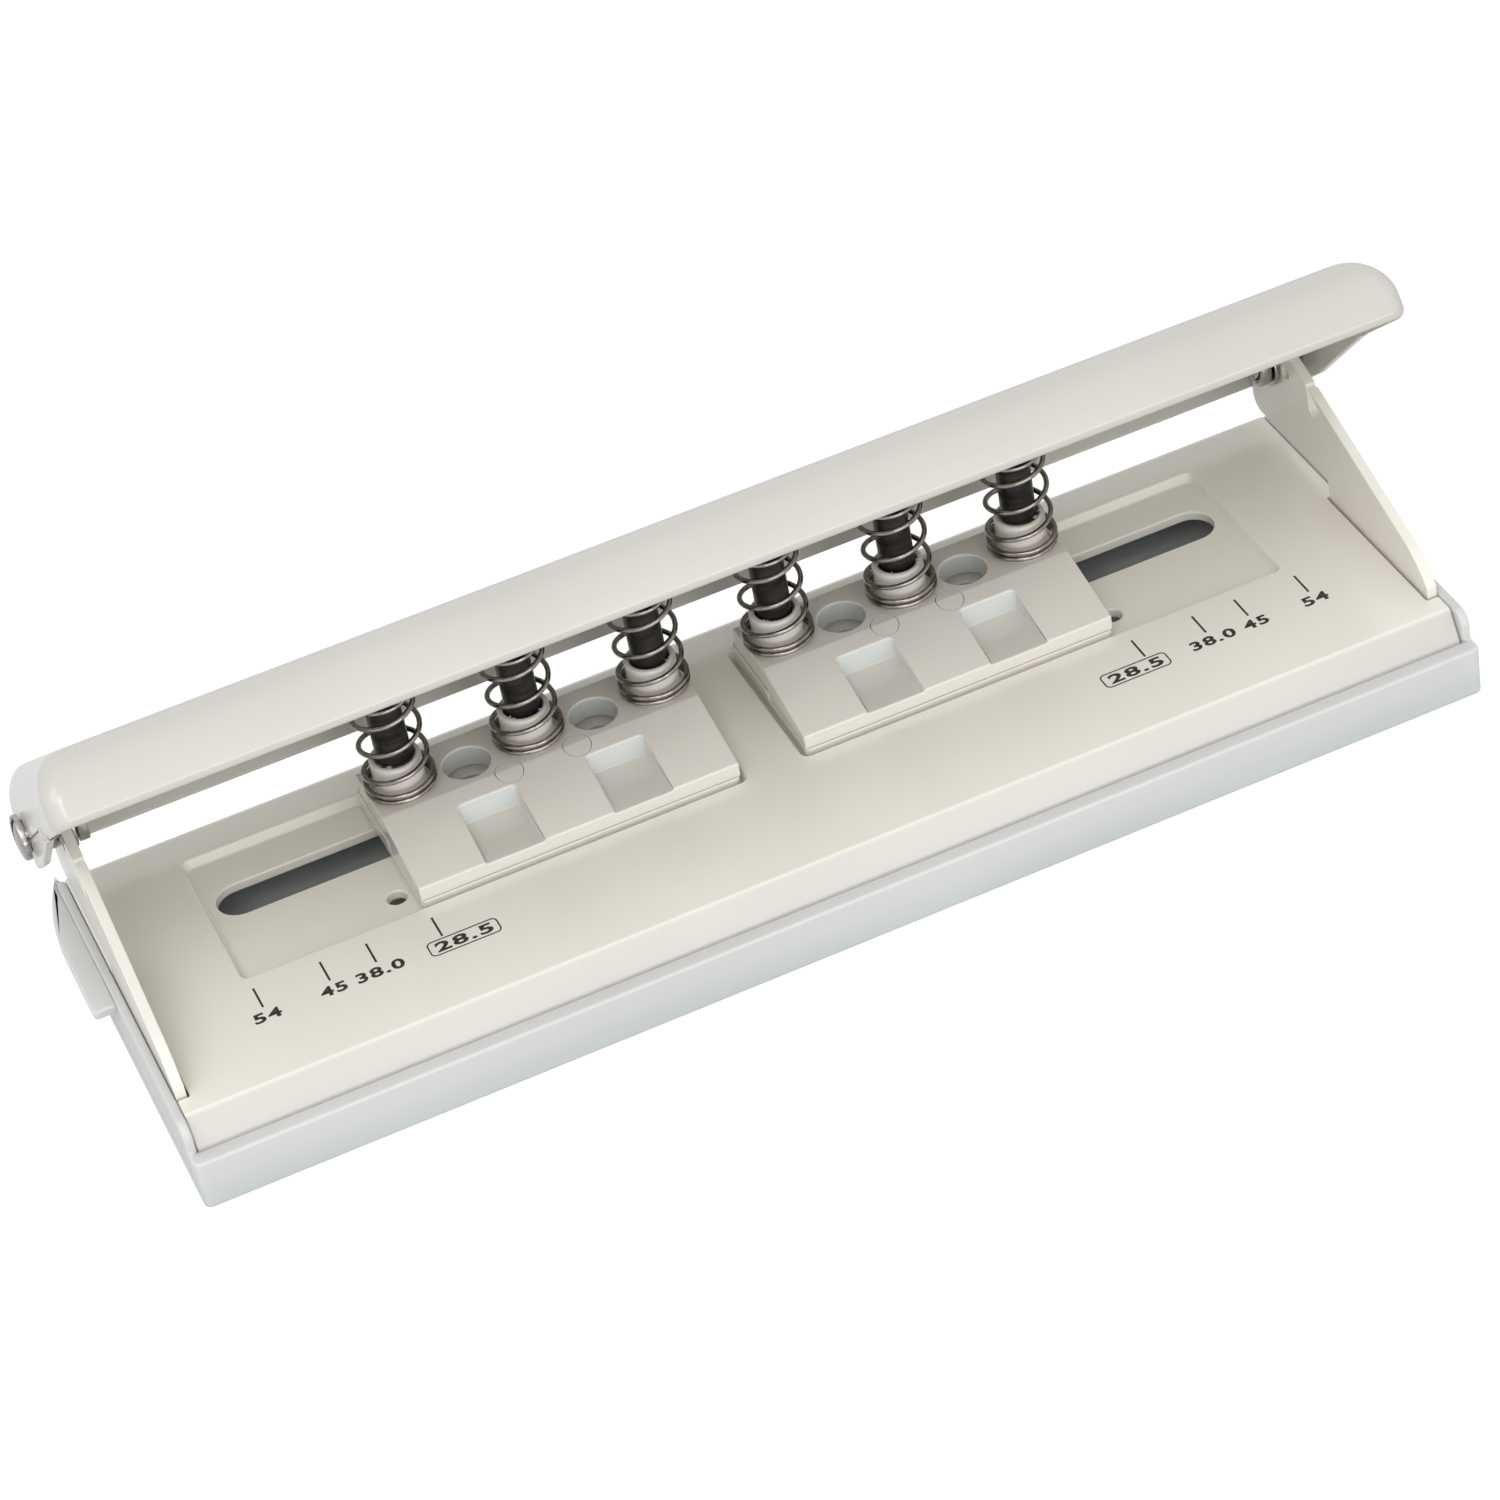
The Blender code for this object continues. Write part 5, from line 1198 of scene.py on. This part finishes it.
class PUNCH_OT_add_blocks(bpy.types.Operator):
    """Painted punch heads and die plates of the two sliding blocks"""

    bl_idname = "punch.add_blocks"
    bl_label = "Sliding blocks"

    def execute(self, context):
        edge = context.scene.punch_sizes.enamel_edge
        pins = [x for _, side, x in pin_places() if side > 0]
        between = [(index + 1) * PIN_PITCH for index in range(PINS_PER_BLOCK - 1)]
        head = new_object("right_head", prism_x(self.head_section(), BLOCK_INNER_X, BLOCK_OUTER_X))
        for x in pins:
            join_to(head, turned(self.boss_profile(), (x, PIN_ROW_Y, 0)))
        low, high = HEAD_BOTTOM - OVERRUN, BOSS_TOP + OVERRUN
        for x in pins:
            cut_from(head, rod(PIN_BORE_RADIUS, low, high, (x, PIN_ROW_Y, 0)))
        for x in between:
            relief = rod(RELIEF_HOLE_RADIUS, low, HEAD_TOP + OVERRUN, (x, PIN_ROW_Y, 0))
            cut_from(head, relief, self.pocket(x))
        round_edges(head, edge)
        low, high = HEAD_TOP - MARK_DEPTH, HEAD_TOP + OVERRUN
        line = [(MARK_RADIUS, low), (MARK_RADIUS + MARK_LINE, low),
                (MARK_RADIUS + MARK_LINE, high), (MARK_RADIUS, high)]
        for x in (between[0] + MARK_FROM_HOLE, between[-1] - MARK_FROM_HOLE):
            cut_from(head, turned(line, (x, MARK_Y, 0), steps=SMALL_STEPS, hollow=True))
        die = new_object("right_die", self.die_blank())
        holes = [(PIN_BORE_RADIUS, x, PIN_ROW_Y, ROUND_STEPS) for x in pins]
        holes += [(SLIDE_HOLE_RADIUS, x, SLOT_Y, SMALL_STEPS) for x in between]
        holes += [(SCREW_HOLE_RADIUS, x, BLOCK_FRONT_Y + SCREW_HOLE_FROM_FRONT, SMALL_STEPS)
                  for x in (pins[0], pins[-1])]
        for radius, x, y, steps in holes:
            cut_from(die, rod(radius, BLOCK_BOTTOM - OVERRUN, DIE_TOP + OVERRUN, (x, y, 0), steps=steps))
        round_edges(die, edge / 2)
        for piece, kind, node in ((head, "head", "punch_head"), (die, "die", "die_plate")):
            copy = bmesh.new()
            copy.from_mesh(piece.data)
            twin = new_object("left_" + kind, mirrored(copy, -1))
            for thing, side, word in ((piece, 1, "right"), (twin, -1, "left")):
                finish_piece(thing, enamel_finish("casting_enamel"), block_body(side), f"{word}_{node}")
                if kind == "head":
                    # Pocket and hole walls get painted shade
                    self.shade_opening_walls(thing.data, [side * x for x in between])
        return {"FINISHED"}

    def head_section(self):
        """Low front lip, sloping front, flat top and the step over the slit."""
        front = BLOCK_FRONT_Y
        step = front + DIE_FRONT_DEPTH - GAP
        return outline_points([
            (front, HEAD_LOW[2], 0),
            (step, HEAD_LOW[2], 0),
            (step, HEAD_BOTTOM, 0),
            (HEAD_BACK_Y, HEAD_BOTTOM, 0),
            (HEAD_BACK_Y, HEAD_TOP, 0),
            (front + HEAD_SLOPE_RUN, HEAD_TOP, HEAD_CREST_RADIUS),
            (front, HEAD_LIP, 0),
        ])

    def boss_profile(self):
        """Guide boss with a flared root and a rounded crown."""
        root = arc((BOSS_RADIUS + BOSS_FILLET, HEAD_TOP + BOSS_FILLET), BOSS_FILLET,
                   -math.pi / 2, -math.pi, CORNER_STEPS)
        crown = arc((BOSS_RADIUS - BOSS_CROWN, BOSS_TOP - BOSS_CROWN), BOSS_CROWN,
                    0, math.pi / 2, CORNER_STEPS)
        bottom = (HEAD_BOTTOM + HEAD_TOP) / 2
        start = [(0, bottom), (BOSS_RADIUS + BOSS_FILLET, bottom)]
        return start + [(p.x, p.y) for p in root + crown] + [(0, BOSS_TOP)]

    def pocket(self, x):
        """Wedge pocket with rounded back corners and a floor that runs out at the front lip."""
        front = BLOCK_FRONT_Y - OVERRUN
        back = BLOCK_FRONT_Y + POCKET_BACK
        top = HEAD_TOP + OVERRUN
        fall = (POCKET_FRONT_RISE - POCKET_BACK_RISE) * (OVERRUN + POCKET_BACK) / POCKET_BACK
        outline = [(front, BASE_TOP + POCKET_BACK_RISE + fall), (back, BASE_TOP + POCKET_BACK_RISE),
                   (back, top), (front, top)]
        pocket = prism_x(outline, x - POCKET_WIDTH / 2, x + POCKET_WIDTH / 2)
        return round_upright(pocket, POCKET_CORNER_RADIUS, back)

    def shade_opening_walls(self, mesh, centres):
        """Give the walls of the pockets and relief holes their darker, cooler painted shade."""
        mesh.materials.append(enamel_finish("thin_enamel"))
        for face in mesh.polygons:
            x, y, z = face.center
            top = min(HEAD_TOP, HEAD_LIP + (y - BLOCK_FRONT_Y) * (HEAD_TOP - HEAD_LIP) / HEAD_SLOPE_RUN)
            beside = min(abs(x - centre) for centre in centres)
            in_pocket = beside < POCKET_WIDTH / 2 + NEAR and y < BLOCK_FRONT_Y + POCKET_BACK + NEAR
            in_hole = math.hypot(beside, y - PIN_ROW_Y) < RELIEF_HOLE_RADIUS + NEAR
            if z < top - GAP / 2 and abs(face.normal.z) < WALL_STEEPNESS and (in_pocket or in_hole):
                face.material_index = 1

    def die_blank(self):
        """Lower half of a block, with round upright corners."""
        step = BLOCK_FRONT_Y + DIE_FRONT_DEPTH
        back = BLOCK_FRONT_Y + DIE_DEPTH
        outline = [(BLOCK_FRONT_Y, BLOCK_BOTTOM), (back, BLOCK_BOTTOM), (back, DIE_TOP), (step, DIE_TOP),
                   (step, DIE_FRONT_TOP), (BLOCK_FRONT_Y, DIE_FRONT_TOP)]
        return round_upright(prism_x(outline, BLOCK_INNER_X, BLOCK_OUTER_X), RECESS_CORNER_RADIUS - GAP)


class PUNCH_OT_add_pins(bpy.types.Operator):
    """Blackened punch pins with domed tops, each with an open ring in its groove"""

    bl_idname = "punch.add_pins"
    bl_label = "Pins and rings"

    def execute(self, context):
        tip = PIN_LOW[2]
        notch = [(PIN_ROW_Y - PIN_RADIUS, tip - PIN_NOTCH_DEPTH),
                 (PIN_ROW_Y + PIN_RADIUS, tip - PIN_NOTCH_DEPTH),
                 (PIN_ROW_Y, tip + PIN_NOTCH_DEPTH)]
        low, high = RING_LOW[2] - OVERRUN, RING_HIGH[2] + OVERRUN
        half = RING_SLOT_WIDTH / 2
        for number, _, x in pin_places():
            place = (x, PIN_ROW_Y, 0)
            pin = new_object(f"pin_{number}_steel", turned(self.pin_profile(), place))
            cut_from(pin, prism_x(notch, x - PIN_RADIUS - OVERRUN, x + PIN_RADIUS + OVERRUN))
            finish_piece(pin, pin_finish(), f"pin_{number}", f"punch_pin_{number}")
            ring = new_object(f"ring_{number}", rod(RING_RADIUS, RING_LOW[2], RING_HIGH[2], place))
            slot = block((x - half, PIN_ROW_Y, low), (x + half, PIN_ROW_Y + RING_RADIUS + OVERRUN, high))
            cut_from(ring, rod(PIN_GROOVE_RADIUS + GAP, low, high, place), slot)
            round_edges(ring, context.scene.punch_sizes.metal_edge, segments=2)
            finish_piece(ring, pin_finish(), f"pin_{number}", f"pin_ring_{number}")
        return {"FINISHED"}

    def pin_profile(self):
        """Shank with a ring groove and a domed top."""
        tip, top = PIN_LOW[2], PIN_HIGH[2]
        groove_bottom, groove_top = RING_LOW[2] - GAP, RING_HIGH[2] + GAP
        profile = [(0, tip), (PIN_RADIUS, tip), (PIN_RADIUS, groove_bottom),
                   (PIN_GROOVE_RADIUS, groove_bottom), (PIN_GROOVE_RADIUS, groove_top),
                   (PIN_RADIUS, groove_top)]
        dome = arc((0, top - PIN_RADIUS), PIN_RADIUS, 0, math.pi / 2, 2 * CORNER_STEPS)
        return profile + [(p.x, p.y) for p in dome[:-1]] + [(0, top)]


class PUNCH_OT_add_springs(bpy.types.Operator):
    """Bright wire springs, wide at the foot and narrower above the guide boss"""

    bl_idname = "punch.add_springs"
    bl_label = "Springs"

    def execute(self, context):
        for number, side, x in pin_places():
            spring = self.wound_wire(f"spring_{number}_wire", Vector((x, PIN_ROW_Y, 0)))
            finish_piece(spring, metal_finish("spring_wire"), block_body(side), f"spring_{number}")
            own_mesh(spring)
        return {"FINISHED"}

    def wound_wire(self, name, place):
        """One unbroken wire, wound and made a mesh where it stands."""
        curve = bpy.data.curves.new(name, "CURVE")
        curve.dimensions = "3D"
        curve.bevel_depth = WIRE_RADIUS
        curve.bevel_resolution = 4
        curve.use_fill_caps = True
        points = self.centreline()
        spline = curve.splines.new("POLY")
        spline.points.add(len(points) - 1)
        for spot, point in zip(spline.points, points):
            spot.co = (*point, 1)
        bm = bmesh.new()
        bm.from_mesh(mesh_of_curve(curve))
        bmesh.ops.remove_doubles(bm, verts=bm.verts, dist=NEAR / 10)
        bmesh.ops.recalc_face_normals(bm, faces=bm.faces)
        bmesh.ops.translate(bm, vec=place, verts=bm.verts)
        return new_object(name, bm)

    def centreline(self):
        """Closed wide turns at the foot, open narrower turns, and a closed top turn under the ring."""
        bottom = SPRING_LOW[2] + WIRE_RADIUS
        top = SPRING_HIGH[2] - WIRE_RADIUS
        closed = (SPRING_FOOT_TURNS + SPRING_TOP_TURNS) * SPRING_CLOSED_PITCH
        open_pitch = (top - bottom - closed) / SPRING_OPEN_TURNS
        turns = SPRING_FOOT_TURNS + SPRING_OPEN_TURNS + SPRING_TOP_TURNS
        count = round(turns * SPRING_POINTS_PER_TURN)
        points = []
        for index in range(count + 1):
            turn = turns * index / count
            foot = min(turn, SPRING_FOOT_TURNS)
            middle = min(max(turn - SPRING_FOOT_TURNS, 0), SPRING_OPEN_TURNS)
            end = max(turn - SPRING_FOOT_TURNS - SPRING_OPEN_TURNS, 0)
            height = bottom + (foot + end) * SPRING_CLOSED_PITCH + middle * open_pitch
            radius = SPRING_FOOT_RADIUS + (SPRING_TOP_RADIUS - SPRING_FOOT_RADIUS) * min(middle, 1)
            radius += (SPRING_SEAT_RADIUS - SPRING_TOP_RADIUS) * min(2 * end, 1)
            angle = math.tau * turn
            points.append(Vector((radius * math.cos(angle), radius * math.sin(angle), height)))
        return points


class PUNCH_OT_finish_fasteners(bpy.types.Operator):
    """Metal finishes for the plates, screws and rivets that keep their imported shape"""

    bl_idname = "punch.finish_fasteners"
    bl_label = "Fasteners"

    def execute(self, context):
        for _, word in SIDES:
            finishes = {"slide_plate": "zinc_plate"}
            for number in (1, 2):
                finishes[f"head_screw_{number}"] = "zinc_plate"
                finishes[f"slide_screw_{number}"] = "zinc_plate"
                finishes[f"cheek_rivet_{number}"] = "nickel"
            for name, metal in finishes.items():
                FRAME["nodes"][f"{word}_{name}"].material_slots[0].material = metal_finish(metal)
        return {"FINISHED"}


class PUNCH_OT_add_stage(bpy.types.Operator):
    """Pale floor, soft studio light and the camera"""

    bl_idname = "punch.add_stage"
    bl_label = "Stage"

    def execute(self, context):
        settings = context.scene.punch_stage
        self.add_floor(settings)
        self.add_sky(settings)
        lamps = {name: self.add_lamp(name + "_lamp", getattr(settings, name + "_power"), *rest)
                 for name, rest in LAMPS.items()}
        lamps["strip"].shape = "RECTANGLE"
        lamps["strip"].size_y = STRIP_HEIGHT
        self.add_camera()
        context.scene.view_settings.view_transform = "Standard"
        return {"FINISHED"}

    def add_floor(self, settings):
        """Plain pale floor that keeps the shadow and is white in the picture."""
        bm = bmesh.new()
        bmesh.ops.create_grid(bm, x_segments=4, y_segments=4, size=FLOOR_HALF)
        floor = new_object("floor", bm)
        material, tree, shader = shader_of("floor_paper")
        set_inputs(tree, shader, {
            "Base Color": (*settings.floor_colour, 1),
            "Roughness": 0.9,
            "Specular IOR Level": 0.0,
        })
        seen, mirrored_ray = self.ray_kinds(tree)
        in_reflections = add_math(tree, "MULTIPLY", mirrored_ray, settings.mirrored_lift)
        strength = add_math(tree, "MULTIPLY_ADD", seen, settings.floor_lift, in_reflections)
        lift = add_node(tree, "Emission", {"Strength": strength})
        lit = add_node(tree, "AddShader", {0: shader.outputs["BSDF"], 1: lift.outputs["Emission"]})
        set_inputs(tree, tree.nodes["Material Output"], {"Surface": lit.outputs["Shader"]})
        floor.data.materials.append(material)

    def add_sky(self, settings):
        """Even light from all round, and a white background."""
        world = bpy.data.worlds.new("studio")
        world.use_nodes = True
        tree = world.node_tree
        light = tree.nodes["Background"]
        set_inputs(tree, light, {"Color": (*COOL_WHITE, 1), "Strength": settings.sky})
        white = add_node(tree, "Background", {"Color": (1, 1, 1, 1), "Strength": 1.0})
        mix = add_node(tree, "MixShader", {
            "Fac": add_math(tree, "MAXIMUM", *self.ray_kinds(tree)),
            1: light.outputs["Background"],
            2: white.outputs["Background"],
        })
        set_inputs(tree, tree.nodes["World Output"], {"Surface": mix.outputs["Shader"]})
        bpy.context.scene.world = world

    def ray_kinds(self, tree):
        """Whether a ray comes straight from the camera, and whether it is mirrored or let through."""
        path = add_node(tree, "LightPath", {}).outputs
        return path["Is Camera Ray"], add_math(tree, "MAXIMUM", path["Is Glossy Ray"],
                                               path["Is Transmission Ray"])

    def add_lamp(self, name, power, place, size, colour):
        """Large soft lamp aimed at the punch."""
        lamp = bpy.data.lights.new(name, "AREA")
        lamp.size = size
        lamp.energy = power
        lamp.color = colour
        thing = link_object(name, lamp)
        thing.location = place
        aim = Vector((0, 0, BASE_TOP)) - Vector(place)
        thing.rotation_euler = aim.to_track_quat("-Z", "Y").to_euler()
        return lamp

    def add_camera(self):
        """Camera at the photograph's place."""
        camera = bpy.data.cameras.new("camera")
        camera.lens = CAMERA_LENS
        camera.clip_start = CAMERA_NEAR
        thing = link_object("camera", camera)
        forward = CAMERA_FORWARD.normalized()
        right = forward.cross(CAMERA_UP).normalized()
        turn = Matrix((right, right.cross(forward), -forward)).transposed().to_4x4()
        thing.matrix_world = Matrix.Translation(CAMERA_PLACE) @ turn
        bpy.context.scene.camera = thing


STEPS = (
    PUNCH_OT_add_tray,
    PUNCH_OT_add_base,
    PUNCH_OT_add_scale,
    PUNCH_OT_add_cheeks,
    PUNCH_OT_add_handle,
    PUNCH_OT_add_pivots,
    PUNCH_OT_add_blocks,
    PUNCH_OT_add_pins,
    PUNCH_OT_add_springs,
    PUNCH_OT_finish_fasteners,
    PUNCH_OT_add_stage,
)


class PUNCH_PT_panel(bpy.types.Panel):
    """Sizes, colours and steps of the punch."""

    bl_idname = "PUNCH_PT_panel"
    bl_label = "Six-hole punch"
    bl_space_type = "VIEW_3D"
    bl_region_type = "UI"
    bl_category = "Punch"

    def draw(self, context):
        layout = self.layout
        for group in (context.scene.punch_colours, context.scene.punch_sizes, context.scene.punch_stage):
            column = layout.column()
            for name in group.__annotations__:
                column.prop(group, name)
        for step in STEPS:
            layout.operator(step.bl_idname)


CLASSES = (PunchColours, PunchSizes, PunchStage, *STEPS, PUNCH_PT_panel)


def register():
    """Add the classes and the groups of settings."""
    for kind in CLASSES:
        bpy.utils.register_class(kind)
    bpy.types.Scene.punch_colours = PointerProperty(type=PunchColours)
    bpy.types.Scene.punch_sizes = PointerProperty(type=PunchSizes)
    bpy.types.Scene.punch_stage = PointerProperty(type=PunchStage)


def unregister():
    """Take the classes and the groups of settings away."""
    del bpy.types.Scene.punch_stage
    del bpy.types.Scene.punch_sizes
    del bpy.types.Scene.punch_colours
    for kind in reversed(CLASSES):
        bpy.utils.unregister_class(kind)


def main():
    """Build every piece."""
    register()
    for step in STEPS:
        space, name = step.bl_idname.split(".")
        getattr(getattr(bpy.ops, space), name)()


if __name__ == "__main__":
    main()
